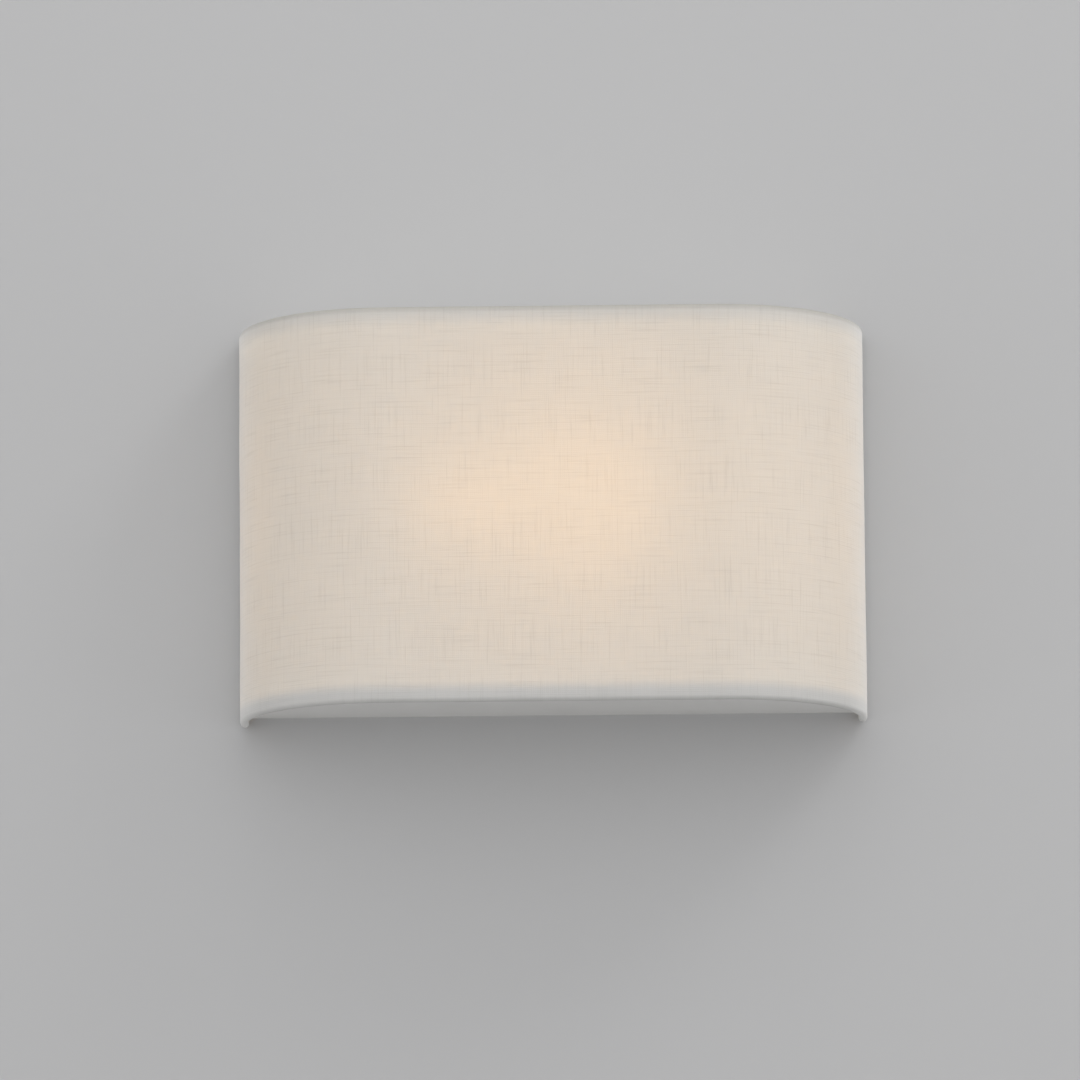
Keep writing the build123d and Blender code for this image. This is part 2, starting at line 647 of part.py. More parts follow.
with BuildPart() as lampholder_bracket:
    # Side view of the angle, as (x, y): the foot lies on the plate and the arm stands forward.
    arm_end = LAMP_Y - BRACKET_WIDTH / 2
    with BuildSketch(Plane.XY.offset(-BRACKET_WIDTH / 2)) as angle:
        with BuildLine():
            Polyline(
                (ARM_LEFT - FOOT_LENGTH, -SHEET),
                (HOLDER_REAR, -SHEET),
                (HOLDER_REAR, arm_end),
                (ARM_LEFT, arm_end),
                (ARM_LEFT, -FOOT_TOP),
                (ARM_LEFT - FOOT_LENGTH, -FOOT_TOP),
                close=True,
            )
        make_face()
        fillet(angle.vertices().sort_by_distance((HOLDER_REAR, -SHEET))[0], BRACKET_BEND + BRACKET)
        fillet(angle.vertices().sort_by_distance((ARM_LEFT, -FOOT_TOP))[0], BRACKET_BEND)
    extrude(amount=BRACKET_WIDTH)
    # Rounded end of the arm and rounded corners of the foot
    arm_corners = lampholder_bracket.edges().filter_by(Axis.X).group_by(Axis.Y)[0]
    fillet(arm_corners, (BRACKET_WIDTH - ARM_FLAT) / 2)
    foot_corners = lampholder_bracket.edges().filter_by(Axis.Y).group_by(Axis.X)[0]
    fillet(foot_corners, BRACKET_BEND)
    with Locations(Plane(origin=(ARM_LEFT, LAMP_Y, 0), z_dir=(1, 0, 0))):
        Cylinder(STEM_RADIUS + STEM_PLAY, BRACKET, align=UP, mode=Mode.SUBTRACT)
    for z in (FOOT_STUD_SPACING / 2, -FOOT_STUD_SPACING / 2):
        with Locations(front_plane(FOOT_STUD, z, SHEET)):
            Cylinder(M4 / 2 + M4_CLEARANCE, BRACKET, align=UP, mode=Mode.SUBTRACT)
lampholder_bracket.part.label = "lampholder_bracket"
export_step(lampholder_bracket.part, "parts/lampholder_bracket.step")

with BuildPart() as bracket_studs:
    for z in (FOOT_STUD_SPACING / 2, -FOOT_STUD_SPACING / 2):
        clinch_stud(FOOT_STUD, z, M4, NUT_BASE + M4_NUT + M4_TAIL)
bracket_studs.part.label = "bracket_studs"
export_step(bracket_studs.part, "parts/bracket_studs.step")

with BuildPart() as bracket_washers:
    for z in (FOOT_STUD_SPACING / 2, -FOOT_STUD_SPACING / 2):
        washer(FOOT_STUD, z, FOOT_TOP, M4_WASHER, M4_WASHER_HEIGHT, M4 / 2 + M4_CLEARANCE)
bracket_washers.part.label = "bracket_washers"
export_step(bracket_washers.part, "parts/bracket_washers.step")

with BuildPart() as bracket_nuts:
    for z in (FOOT_STUD_SPACING / 2, -FOOT_STUD_SPACING / 2):
        hex_nut(FOOT_STUD, z, NUT_BASE, M4_FLATS, M4_NUT, M4 / 2 + THREAD_PLAY)
bracket_nuts.part.label = "bracket_nuts"
export_step(bracket_nuts.part, "parts/bracket_nuts.step")

with BuildPart() as lampholder_body:
    stem_hole = STEM_RADIUS + STEM_PLAY
    sleeve_seat = SLEEVE_OUTER + SLEEVE_SEAT_PLAY
    sleeve_end = HOLDER_MOUTH - MOUTH_DEPTH
    skirt_start = HOLDER_MOUTH - SKIRT_LENGTH
    lip = (SKIRT_RADIUS - MOUTH_RADIUS) / 3
    turned(
        LAMP_PLANE,
        LAMP_AXIS,
        [
            (HOLDER_REAR, stem_hole),
            (HOLDER_REAR, HOLDER_SHOULDER),
            (HOLDER_REAR + HOLDER_TAPER, HOLDER_RADIUS),
            (skirt_start - lip, HOLDER_RADIUS),
            (skirt_start, SKIRT_RADIUS),
            (HOLDER_MOUTH - lip, SKIRT_RADIUS),
            (HOLDER_MOUTH, SKIRT_RADIUS - lip),
            (HOLDER_MOUTH, MOUTH_RADIUS),
            (sleeve_end, sleeve_seat),
            (SOCKET_FLOOR, sleeve_seat),
            (SOCKET_FLOOR, 0),
            (HOLDER_REAR + STEM_ENTRY, 0),
            (HOLDER_REAR + STEM_ENTRY, stem_hole),
        ],
    )
    rib_start = HOLDER_REAR + HOLDER_TAPER + lip
    rib_length = skirt_start - 2 * lip - rib_start
    with Locations(Plane(origin=(rib_start, LAMP_Y, 0), z_dir=(1, 0, 0))):
        with PolarLocations(HOLDER_RADIUS, GRIP_RIBS):
            Box(2 * GRIP_RIB_HEIGHT, GRIP_RIB_WIDTH, rib_length, align=UP)
lampholder_body.part.label = "lampholder_body"
export_step(lampholder_body.part, "parts/lampholder_body.step")

with BuildPart() as lampholder_sleeve:
    sleeve_front = HOLDER_MOUTH - MOUTH_DEPTH
    turned(
        LAMP_PLANE,
        LAMP_AXIS,
        [
            (sleeve_front - SLEEVE_LENGTH, SLEEVE_INNER),
            (sleeve_front - SLEEVE_LENGTH, SLEEVE_OUTER),
            (sleeve_front, SLEEVE_OUTER),
            (sleeve_front, SLEEVE_INNER),
        ],
    )
lampholder_sleeve.part.label = "lampholder_sleeve"
export_step(lampholder_sleeve.part, "parts/lampholder_sleeve.step")

# The centre contact is a sprung brass strip: a foot on the socket's floor and an arch up to the lamp's tip.
with BuildPart() as lampholder_contact:
    rise = LAMP_START - CONTACT_GAP - CONTACT - SOCKET_FLOOR
    foot_x = SOCKET_FLOOR + CONTACT / 2
    crown_x = foot_x + rise
    crown_y = CONTACT_CROWN / 2
    with BuildSketch(Plane.XY.offset(-CONTACT_WIDTH / 2)):
        with BuildLine():
            FilletPolyline(
                (foot_x, LAMP_Y + crown_y + CONTACT_LEG + CONTACT_FOOT),
                (foot_x, LAMP_Y + crown_y + CONTACT_LEG),
                (crown_x, LAMP_Y + crown_y),
                (crown_x, LAMP_Y - crown_y),
                (foot_x + rise / 2, LAMP_Y - crown_y - CONTACT_TAIL),
                radius=CONTACT_BEND,
            )
        trace(line_width=CONTACT)
    extrude(amount=CONTACT_WIDTH)
lampholder_contact.part.label = "lampholder_contact"
export_step(lampholder_contact.part, "parts/lampholder_contact.step")

with BuildPart() as lampholder_stem:
    turned(
        LAMP_PLANE,
        LAMP_AXIS,
        [
            (ARM_LEFT - STEM_TAIL, STEM_BORE),
            (ARM_LEFT - STEM_TAIL, STEM_RADIUS - STEM_CHAMFER),
            (ARM_LEFT - STEM_TAIL + STEM_CHAMFER, STEM_RADIUS),
            (HOLDER_REAR + STEM_ENTRY, STEM_RADIUS),
            (HOLDER_REAR + STEM_ENTRY, STEM_BORE),
        ],
    )
lampholder_stem.part.label = "lampholder_stem"
export_step(lampholder_stem.part, "parts/lampholder_stem.step")

with BuildPart() as lampholder_locknut:
    with BuildSketch(Plane(origin=(ARM_LEFT, LAMP_Y, 0), z_dir=(-1, 0, 0))):
        RegularPolygon(LOCKNUT_FLATS / 2, 6, major_radius=False)
        Circle(STEM_RADIUS + THREAD_PLAY, mode=Mode.SUBTRACT)
    extrude(amount=LOCKNUT_HEIGHT)
lampholder_locknut.part.label = "lampholder_locknut"
export_step(lampholder_locknut.part, "parts/lampholder_locknut.step")

# ---------------------------------------------------------------- lamp
with BuildPart() as lamp_tip:
    turned(
        LAMP_PLANE,
        LAMP_AXIS,
        [
            (LAMP_START, 0),
            (LAMP_START, PIP_RADIUS / 2),
            (LAMP_START + PIP_HEIGHT / 2, PIP_RADIUS),
            (LAMP_START + PIP_HEIGHT, PIP_RADIUS),
            (LAMP_START + PIP_HEIGHT, 0),
        ],
    )
lamp_tip.part.label = "lamp_tip"
export_step(lamp_tip.part, "parts/lamp_tip.step")

with BuildPart() as lamp_insulator:
    insulator_start = LAMP_START + PIP_HEIGHT
    turned(
        LAMP_PLANE,
        LAMP_AXIS,
        [
            (insulator_start, 0),
            (insulator_start, INSULATOR_TOP),
            (CAP_START, CAP_RADIUS - CAP_EDGE),
            (CAP_START, 0),
        ],
    )
lamp_insulator.part.label = "lamp_insulator"
export_step(lamp_insulator.part, "parts/lamp_insulator.step")

with BuildPart() as lamp_cap:
    turned(
        LAMP_PLANE,
        LAMP_AXIS,
        [
            (CAP_START, 0),
            (CAP_START, CAP_RADIUS - CAP_EDGE),
            (CAP_START + 2 * CAP_EDGE, CAP_RADIUS),
            (CAP_START + CAP_THREAD, CAP_RADIUS),
            (CAP_END, CAP_COLLAR),
            (CAP_END, 0),
        ],
    )
lamp_cap.part.label = "lamp_cap"
export_step(lamp_cap.part, "parts/lamp_cap.step")

# The globe is most of a sphere. Its housing sweeps out from the cap to the globe's open neck.
GLOBE_RADIUS = GLOBE_DIAMETER / 2
HOUSING_END = GLOBE_X - sqrt(GLOBE_RADIUS**2 - HOUSING_RIM**2)

with BuildPart() as lamp_housing:
    with BuildSketch(LAMP_PLANE):
        with BuildLine():
            start = (CAP_END, CAP_COLLAR)
            flank = ThreePointArc(
                start,
                ((CAP_END + HOUSING_END) / 2, (CAP_COLLAR + HOUSING_RIM) / 2 - HOUSING_HOLLOW),
                (HOUSING_END, HOUSING_RIM),
            )
            Polyline(flank @ 1, (HOUSING_END, 0), (CAP_END, 0), start)
        make_face()
    revolve(axis=LAMP_AXIS)
lamp_housing.part.label = "lamp_housing"
export_step(lamp_housing.part, "parts/lamp_housing.step")

with BuildPart() as lamp_globe:
    with Locations((GLOBE_X, LAMP_Y, 0)):
        Sphere(GLOBE_RADIUS)
        Sphere(GLOBE_RADIUS - GLOBE_WALL, mode=Mode.SUBTRACT)
    split(bisect_by=Plane(origin=(HOUSING_END, 0, 0), z_dir=(1, 0, 0)), keep=Keep.TOP)
lamp_globe.part.label = "lamp_globe"
export_step(lamp_globe.part, "parts/lamp_globe.step")

# ---------------------------------------------------------------- terminal block
BLOCK_LOW = TERMINAL_Z - BLOCK_DEPTH / 2
TUBE_DISTANCE = SHEET + TUBE_CENTRE
BLOCK_WIDTH = POLE_OFFSETS[-1] - POLE_OFFSETS[0] + POLE_WIDTH
SCREW_HEIGHTS = [TERMINAL_Z - CLAMP_SCREW_SPACING / 2, TERMINAL_Z + CLAMP_SCREW_SPACING / 2]
CLAMP_SEAT = TUBE_DISTANCE + TUBE_OUTER / 2

with BuildPart() as terminal_block:
    with BuildSketch(Plane.XY.offset(BLOCK_LOW)) as block_section:
        with Locations([(TERMINAL_X + offset, -SHEET) for offset in POLE_OFFSETS]):
            Rectangle(POLE_WIDTH, POLE_HEIGHT, align=(Align.CENTER, Align.MAX))
        fillet(block_section.vertices().group_by(Axis.Y)[0], POLE_ROUND)
        with Locations((TERMINAL_X, -SHEET)):
            Rectangle(BLOCK_WIDTH, BRIDGE_HEIGHT, align=(Align.CENTER, Align.MAX))
    extrude(amount=BLOCK_DEPTH)
    for offset in POLE_OFFSETS:
        with Locations((TERMINAL_X + offset, -TUBE_DISTANCE, TERMINAL_Z)):
            Cylinder(TUBE_OUTER / 2 + TUBE_PLAY, TUBE_LENGTH + 2 * TUBE_PLAY, mode=Mode.SUBTRACT)
            Cylinder(WIRE_PORT / 2, BLOCK_DEPTH, mode=Mode.SUBTRACT)
        for height in SCREW_HEIGHTS:
            with Locations(front_plane(TERMINAL_X + offset, height, TUBE_DISTANCE)):
                Cylinder(CLAMP_CHIMNEY / 2, POLE_HEIGHT, align=UP, mode=Mode.SUBTRACT)
    with Locations(front_plane(BLOCK_SCREW_X, TERMINAL_Z, 0)):
        Cylinder(BLOCK_SCREW / 2 + BLOCK_SCREW_CLEARANCE, POLE_HEIGHT, align=UP, mode=Mode.SUBTRACT)
    with Locations(front_plane(BLOCK_SCREW_X, TERMINAL_Z, SHEET + BRIDGE_HEIGHT)):
        Cylinder(BLOCK_SCREW_HEAD / 2 + BLOCK_SCREW_HEAD_PLAY, POLE_HEIGHT, align=UP, mode=Mode.SUBTRACT)
terminal_block.part.label = "terminal_block"
export_step(terminal_block.part, "parts/terminal_block.step")

with BuildPart() as terminal_tubes:
    with Locations([(TERMINAL_X + offset, -TUBE_DISTANCE, TERMINAL_Z) for offset in POLE_OFFSETS]):
        Cylinder(TUBE_OUTER / 2, TUBE_LENGTH)
        Cylinder(TUBE_BORE / 2, TUBE_LENGTH, mode=Mode.SUBTRACT)
    for offset in POLE_OFFSETS:
        for height in SCREW_HEIGHTS:
            with Locations(front_plane(TERMINAL_X + offset, height, TUBE_DISTANCE)):
                Cylinder(CLAMP_SCREW / 2 + THREAD_PLAY, TUBE_OUTER, align=UP, mode=Mode.SUBTRACT)
terminal_tubes.part.label = "terminal_tubes"
export_step(terminal_tubes.part, "parts/terminal_tubes.step")

# The screws on the lamp's side clamp a core, and the ones on the mains side are wound out.
with BuildPart() as terminal_screws:
    for offset in POLE_OFFSETS:
        for height, lift in zip(SCREW_HEIGHTS, (TUBE_BORE / 2, CORE / 2 + CORE_PLAY)):
            pole_x = TERMINAL_X + offset
            tip = TUBE_DISTANCE + lift
            head_base = CLAMP_SEAT + THREAD_PLAY + lift - CORE / 2
            with Locations(front_plane(pole_x, height, tip)):
                Cylinder(CLAMP_SCREW / 2, head_base - tip, align=UP)
            with Locations(front_plane(pole_x, height, head_base)):
                Cylinder(CLAMP_HEAD / 2, CLAMP_HEAD_HEIGHT, align=UP)
            with Locations(front_plane(pole_x, height, head_base + CLAMP_HEAD_HEIGHT / 2)):
                Box(CLAMP_HEAD, CLAMP_SLOT, CLAMP_HEAD_HEIGHT, align=UP, mode=Mode.SUBTRACT)
terminal_screws.part.label = "terminal_screws"
export_step(terminal_screws.part, "parts/terminal_screws.step")

with BuildPart() as block_screw:
    head_base = SHEET + BRIDGE_HEIGHT
    head_top = head_base + BLOCK_SCREW_HEAD_HEIGHT
    turned_on_plate(
        BLOCK_SCREW_X,
        TERMINAL_Z,
        [
            (0, PRESS_GAP),
            (BLOCK_SCREW / 2, PRESS_GAP),
            (BLOCK_SCREW / 2, head_base),
            (BLOCK_SCREW_HEAD / 2, head_base),
            (BLOCK_SCREW_HEAD / 2, head_top - BLOCK_SCREW_HEAD_HEIGHT / 2),
            (BLOCK_SCREW_HEAD / 3, head_top),
            (0, head_top),
        ],
    )
    with Locations(front_plane(BLOCK_SCREW_X, TERMINAL_Z, head_base + BLOCK_SCREW_HEAD_HEIGHT / 2)):
        Box(CLAMP_SLOT, BLOCK_SCREW_HEAD, BLOCK_SCREW_HEAD_HEIGHT, align=UP, mode=Mode.SUBTRACT)
block_screw.part.label = "block_screw"
export_step(block_screw.part, "parts/block_screw.step")

# ---------------------------------------------------------------- earth point
TOOTHED_BASE = SHEET
LUG_BASE = TOOTHED_BASE + M4_WASHER_HEIGHT
EARTH_NUT_BASE = LUG_BASE + LUG

with BuildPart() as earth_stud:
    clinch_stud(EARTH_X, EARTH_Z, M4, EARTH_NUT_BASE + M4_NUT + M4_TAIL)
earth_stud.part.label = "earth_stud"
export_step(earth_stud.part, "parts/earth_stud.step")

with BuildPart() as earth_washer:
    outer = M4_WASHER / 2
    step = 180 / TOOTH_COUNT
    teeth = [
        (radius * cos(radians(angle)), radius * sin(radians(angle)))
        for tooth in range(TOOTH_COUNT)
        for radius, angle in ((outer, 2 * tooth * step), (outer - TOOTH_DEPTH, (2 * tooth + 1) * step))
    ]
    with BuildSketch(front_plane(EARTH_X, EARTH_Z, TOOTHED_BASE)):
        with BuildLine():
            Polyline(*teeth, close=True)
        make_face()
        Circle(M4 / 2 + M4_CLEARANCE, mode=Mode.SUBTRACT)
    extrude(amount=M4_WASHER_HEIGHT)
earth_washer.part.label = "earth_washer"
export_step(earth_washer.part, "parts/earth_washer.step")

# Ring lug: an eye, a neck and a crimped barrel, turned up towards the terminal block.
LUG_WAY = (cos(radians(LUG_TURN)), 0, sin(radians(LUG_TURN)))
LUG_FRAME = Plane(origin=(EARTH_X, -LUG_BASE, EARTH_Z), x_dir=LUG_WAY, z_dir=(0, -1, 0))
BARREL_HEIGHT = LUG_BARREL_RADIUS

with BuildPart() as earth_lug:
    with BuildSketch(LUG_FRAME):
        Circle(LUG_RADIUS)
        Rectangle(LUG_NECK + LUG_UNDERLAP, LUG_NECK_WIDTH, align=(Align.MIN, Align.CENTER))
        Circle(M4 / 2 + M4_CLEARANCE, mode=Mode.SUBTRACT)
    extrude(amount=LUG)
    barrel_start = LUG_FRAME.from_local_coords((LUG_NECK, 0, BARREL_HEIGHT))
    with Locations(Plane(origin=barrel_start, z_dir=LUG_WAY)):
        Cylinder(LUG_BARREL_RADIUS, LUG_BARREL, align=UP)
        Cylinder(CORE / 2 + CORE_PLAY, LUG_BARREL, align=UP, mode=Mode.SUBTRACT)
earth_lug.part.label = "earth_lug"
export_step(earth_lug.part, "parts/earth_lug.step")

with BuildPart() as earth_nut:
    hex_nut(EARTH_X, EARTH_Z, EARTH_NUT_BASE, M4_FLATS, M4_NUT, M4 / 2 + THREAD_PLAY)
earth_nut.part.label = "earth_nut"
export_step(earth_nut.part, "parts/earth_nut.step")

# ---------------------------------------------------------------- inner wires
EARTH_POLE, NEUTRAL_POLE, LIVE_POLE = [TERMINAL_X + offset for offset in POLE_OFFSETS]
BLOCK_TOP = TERMINAL_Z + BLOCK_DEPTH / 2
CORE_START = TERMINAL_Z + TUBE_LENGTH / 2 - CORE_IN_TUBE
STEM_MOUTH = ARM_LEFT - STEM_TAIL
HOLDER_END = HOLDER_REAR + STEM_ENTRY


def lamp_core(name, pole_x, lane):
    """A core from its terminal, along the plate, round the bracket's foot and into the lampholder's stem."""
    way = CORE_SPACING * lane
    core_wire(
        name,
        [
            (pole_x, -TUBE_DISTANCE, CORE_START),
            (pole_x, -TUBE_DISTANCE, BLOCK_TOP + 6 + 2 * way),
            (pole_x - 22, -6.5, BLOCK_TOP + 12 + way),
            (-18, -5, BLOCK_TOP + 10 + way),
            (-60, -5, BLOCK_TOP + 13 + way),
            (ARM_LEFT - FOOT_LENGTH - 4, -7, -18 + way),
            (ARM_LEFT - FOOT_LENGTH - 7, -24, -7 + way),
            (STEM_MOUTH - 15, LAMP_Y, way - CORE_SPACING / 2),
            (HOLDER_END, LAMP_Y, way - CORE_SPACING / 2),
        ],
    )


with BuildPart() as neutral_wire:
    lamp_core("neutral_wire", NEUTRAL_POLE, 0)
neutral_wire.part.label = "neutral_wire"
export_step(neutral_wire.part, "parts/neutral_wire.step")

with BuildPart() as live_wire:
    lamp_core("live_wire", LIVE_POLE, 1)
live_wire.part.label = "live_wire"
export_step(live_wire.part, "parts/live_wire.step")

with BuildPart() as earth_wire:
    inside_lug = LUG_FRAME.from_local_coords((LUG_NECK + LUG_BARREL - CORE_IN_TUBE, 0, BARREL_HEIGHT))
    lug_exit = LUG_FRAME.from_local_coords((LUG_NECK + LUG_BARREL + 6, 0, BARREL_HEIGHT))
    core_wire(
        "earth_wire",
        [
            (EARTH_POLE, -TUBE_DISTANCE, CORE_START),
            (EARTH_POLE, -TUBE_DISTANCE, BLOCK_TOP + 4),
            (EARTH_POLE - 14, -8, BLOCK_TOP + 7),
            (-8, -8, BLOCK_TOP + 6),
            tuple(lug_exit),
            tuple(inside_lug),
        ],
    )
earth_wire.part.label = "earth_wire"
export_step(earth_wire.part, "parts/earth_wire.step")
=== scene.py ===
# %% [markdown]
# # A fabric shade wall light
# On the real light a strip of linen is bonded to a clear film and turned round a bent wire frame, and the frame
# hangs on a folded steel chassis that holds the lamp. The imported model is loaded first, as a fixed frame in
# metres. Steel, wires, lamp and screws are shown as they come and only get finishes. The linen is soft, so it is
# made again here as a thin closed sheet.

import json
from math import cos, pi, radians, sin

import bmesh
import bpy
from mathutils import Matrix, Vector, noise


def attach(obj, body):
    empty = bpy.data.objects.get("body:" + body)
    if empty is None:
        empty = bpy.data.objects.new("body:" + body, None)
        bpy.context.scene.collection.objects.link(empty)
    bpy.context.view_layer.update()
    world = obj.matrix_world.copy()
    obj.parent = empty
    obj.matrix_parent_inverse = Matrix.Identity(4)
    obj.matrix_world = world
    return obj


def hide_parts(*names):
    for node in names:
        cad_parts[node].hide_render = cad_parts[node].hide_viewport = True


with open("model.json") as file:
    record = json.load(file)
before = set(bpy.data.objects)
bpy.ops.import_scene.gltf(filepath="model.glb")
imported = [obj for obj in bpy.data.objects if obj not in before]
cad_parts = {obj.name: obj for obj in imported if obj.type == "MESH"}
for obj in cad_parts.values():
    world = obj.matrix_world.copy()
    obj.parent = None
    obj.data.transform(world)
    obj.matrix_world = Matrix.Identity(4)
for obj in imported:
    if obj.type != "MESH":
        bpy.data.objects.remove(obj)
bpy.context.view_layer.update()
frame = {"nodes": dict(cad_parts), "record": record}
MM = 0.001
print(len(frame["nodes"]), "pieces come from the model")

# %% [markdown]
# ## The camera
# The photograph was taken from low down and far away with a very long lens, so the shade's sides hardly
# converge. The camera stands where lines of sight through known corners of the shade meet. A slight roll is
# kept, because the real camera wasn't level.

# %% Camera
scene = bpy.context.scene
PLACE = Vector((0.0541, -4.6192, -0.8119))  # metres
YAW, PITCH, ROLL = -0.0130, 0.1730, -0.0080  # radians
FOCAL_LENGTH, SENSOR_WIDTH = 325.2, 36  # mm
FARTHEST_SEEN = 50  # metres

level = Vector((sin(YAW), cos(YAW), 0))
forward = level * cos(PITCH) + Vector((0, 0, 1)) * sin(PITCH)
right = Vector((cos(YAW), -sin(YAW), 0))
up = right.cross(forward)
right, up = right * cos(ROLL) + up * sin(ROLL), up * cos(ROLL) - right * sin(ROLL)

camera_data = bpy.data.cameras.new("camera")
camera_data.lens = FOCAL_LENGTH
camera_data.sensor_width = SENSOR_WIDTH
camera_data.clip_end = FARTHEST_SEEN
camera = bpy.data.objects.new("camera", camera_data)
camera.matrix_world = Matrix.Translation(PLACE) @ Matrix((right, up, -forward)).transposed().to_4x4()
scene.collection.objects.link(camera)
scene.camera = camera
scene.view_settings.view_transform = "Standard"
print("camera", round(PLACE.length, 2), "m from the shade")

# %% [markdown]
# ## Three small helpers
# Colours are written as on a paint chart, in sRGB, and turned to the linear values that light is worked out
# in, by the curve of the sRGB standard. Every material is built from nodes with one function, which adds a node
# with its settings and links. A third helper starts an empty material.


# %% Helpers
def linear(colour):
    """A hex colour such as "#c8c8c8" as linear red, green, blue and alpha."""
    parts = [int(colour[i : i + 2], 16) / 255 for i in (1, 3, 5)]
    return [v / 12.92 if v <= 0.04045 else ((v + 0.055) / 1.055) ** 2.4 for v in parts] + [1.0]


def add(tree, kind, settings=None, **inputs):
    """Adds a node. An input is a value, or the output socket of another node."""
    node = tree.nodes.new("ShaderNode" + kind)
    for key, value in (settings or {}).items():
        setattr(node, key, value)
    for key, value in inputs.items():
        socket = node.inputs[int(key[1:]) if key[1:].isdigit() else key.replace("_", " ")]
        if isinstance(value, bpy.types.NodeSocket):
            tree.links.new(value, socket)
        else:
            socket.default_value = value
    return node


def new_material(name):
    """An empty material with its node tree and output node."""
    material = bpy.data.materials.new(name)
    material.use_nodes = True
    material.node_tree.nodes.clear()
    return material, material.node_tree, material.node_tree.nodes.new("ShaderNodeOutputMaterial")


print("mid grey is", round(linear("#bcbcbc")[0], 3), "in linear light")

# %% [markdown]
# ## Wall and floor
# The light hangs on a smooth painted wall. A wall light is fixed about 1.6 m above the floor. The wall and floor
# are seen through from behind, so that the back of the object can be looked at as well. The part of the wall that
# the back plate covers is a patch of its own, which only the camera sees: light from behind passes it and falls
# on the back plate.


# %% Wall and floor
def stage_material(name, colour, seen_only=False):
    """Matt paint that isn't there from behind, or for any ray but the camera's where it is seen only."""
    material, tree, output = new_material(name)
    paint = add(tree, "BsdfDiffuse", Color=linear(colour), Roughness=0.6)
    clear = add(tree, "BsdfTransparent")
    away = add(tree, "NewGeometry").outputs["Backfacing"]
    if seen_only:
        ray = add(tree, "LightPath")
        other = add(tree, "Math", {"operation": "SUBTRACT"}, _0=1.0, _1=ray.outputs["Is Camera Ray"])
        away = add(tree, "Math", {"operation": "MAXIMUM"}, _0=away, _1=other.outputs[0]).outputs[0]
    mix = add(tree, "MixShader", _0=away, _1=paint.outputs[0], _2=clear.outputs[0])
    tree.links.new(mix.outputs[0], output.inputs["Surface"])
    return material


WALL_Y = 0.0003  # clear of the back plate
WALL_HALF, WALL_TOP = 3.0, 3.0
PATCH_HALF_WIDTH, PATCH_HALF_HEIGHT = 0.1436, 0.0899  # just inside the back plate's edge
FLOOR_Z, FLOOR_FRONT = -1.6, -6.0
WALL_PAINT, FLOOR_PAINT = "#c0c0c0", "#c4c4c4"

wall_mesh = bmesh.new()
outer = [
    wall_mesh.verts.new((x * WALL_HALF, WALL_Y, z))
    for x, z in ((-1, FLOOR_Z), (1, FLOOR_Z), (1, WALL_TOP), (-1, WALL_TOP))
]
inner = [
    wall_mesh.verts.new((x * PATCH_HALF_WIDTH, WALL_Y, z * PATCH_HALF_HEIGHT))
    for x, z in ((-1, -1), (1, -1), (1, 1), (-1, 1))
]
for i in range(4):
    j = (i + 1) % 4
    wall_mesh.faces.new((outer[i], outer[j], inner[j], inner[i]))
wall_mesh.faces.new(inner).material_index = 1
wall_data = bpy.data.meshes.new("wall")
wall_mesh.to_mesh(wall_data)
wall_mesh.free()
wall = bpy.data.objects.new("wall", wall_data)
wall_data.materials.append(stage_material("painted_wall", WALL_PAINT))
wall_data.materials.append(stage_material("painted_wall_behind_plate", WALL_PAINT, seen_only=True))

# %% Floor
floor_mesh = bmesh.new()
floor_mesh.faces.new(
    [
        floor_mesh.verts.new((x * WALL_HALF, y, FLOOR_Z))
        for x, y in ((-1, FLOOR_FRONT), (1, FLOOR_FRONT), (1, WALL_Y), (-1, WALL_Y))
    ]
)
floor_data = bpy.data.meshes.new("floor")
floor_mesh.to_mesh(floor_data)
floor_mesh.free()
floor = bpy.data.objects.new("floor", floor_data)
floor_data.materials.append(stage_material("pale_floor", FLOOR_PAINT))
for thing in (wall, floor):
    scene.collection.objects.link(thing)
facing = {tuple(round(v, 1) for v in face.normal) for face in wall_data.polygons}
print("the wall faces", facing)

# %% [markdown]
# ## Light
# In the photograph the shade's shadow is very soft and falls down and a little to the left, and the shade's
# right end is brighter. So most of the light is even light from a pale room, with one large soft lamp high on
# the right, close to the wall, and a weak one overhead.

# %% Light
ROOM = 1.24
KEY_POWER, TOP_POWER = 21.0, 3.0  # watts
KEY_PLACE, TOP_PLACE = (1.8, -0.8, 2.2), (0, -0.9, 2.2)
LAMP_WIDTH = 1.2
world = bpy.data.worlds.new("room")
scene.world = world
world.use_nodes = True
world.node_tree.nodes.clear()
room = add(world.node_tree, "Background", Color=linear("#f6f6f7"), Strength=ROOM)
room_out = add(world.node_tree, "OutputWorld")
world.node_tree.links.new(room.outputs[0], room_out.inputs["Surface"])


def soft_light(name, place, power):
    """A round soft white lamp at a place in metres, turned towards the shade."""
    data = bpy.data.lights.new(name, "AREA")
    data.shape = "DISK"
    data.size = LAMP_WIDTH
    data.energy = power
    lamp = bpy.data.objects.new(name, data)
    lamp.location = place
    lamp.rotation_euler = Vector(place).to_track_quat("Z", "Y").to_euler()
    scene.collection.objects.link(lamp)


soft_light("key", KEY_PLACE, KEY_POWER)
soft_light("top", TOP_PLACE, TOP_POWER)
print("lamps of", KEY_POWER, "and", TOP_POWER, "W, and an even room at", ROOM)

# %% [markdown]
# ## The linen sheet
# The cover is one strip of linen. It is turned round the bent wires at the top and bottom and round the two
# uprights at the rear. It could be simulated as cloth, but the wires hold it stretched, so a simulation would
# only blur it. It is made as a sheet that is followed along the shade's outline and, at each place, round a
# profile that runs under the lower wire, up the face and over the upper wire. Each point also keeps its place in
# the flat cloth, in millimetres, so that the weave follows the threads round the corners.

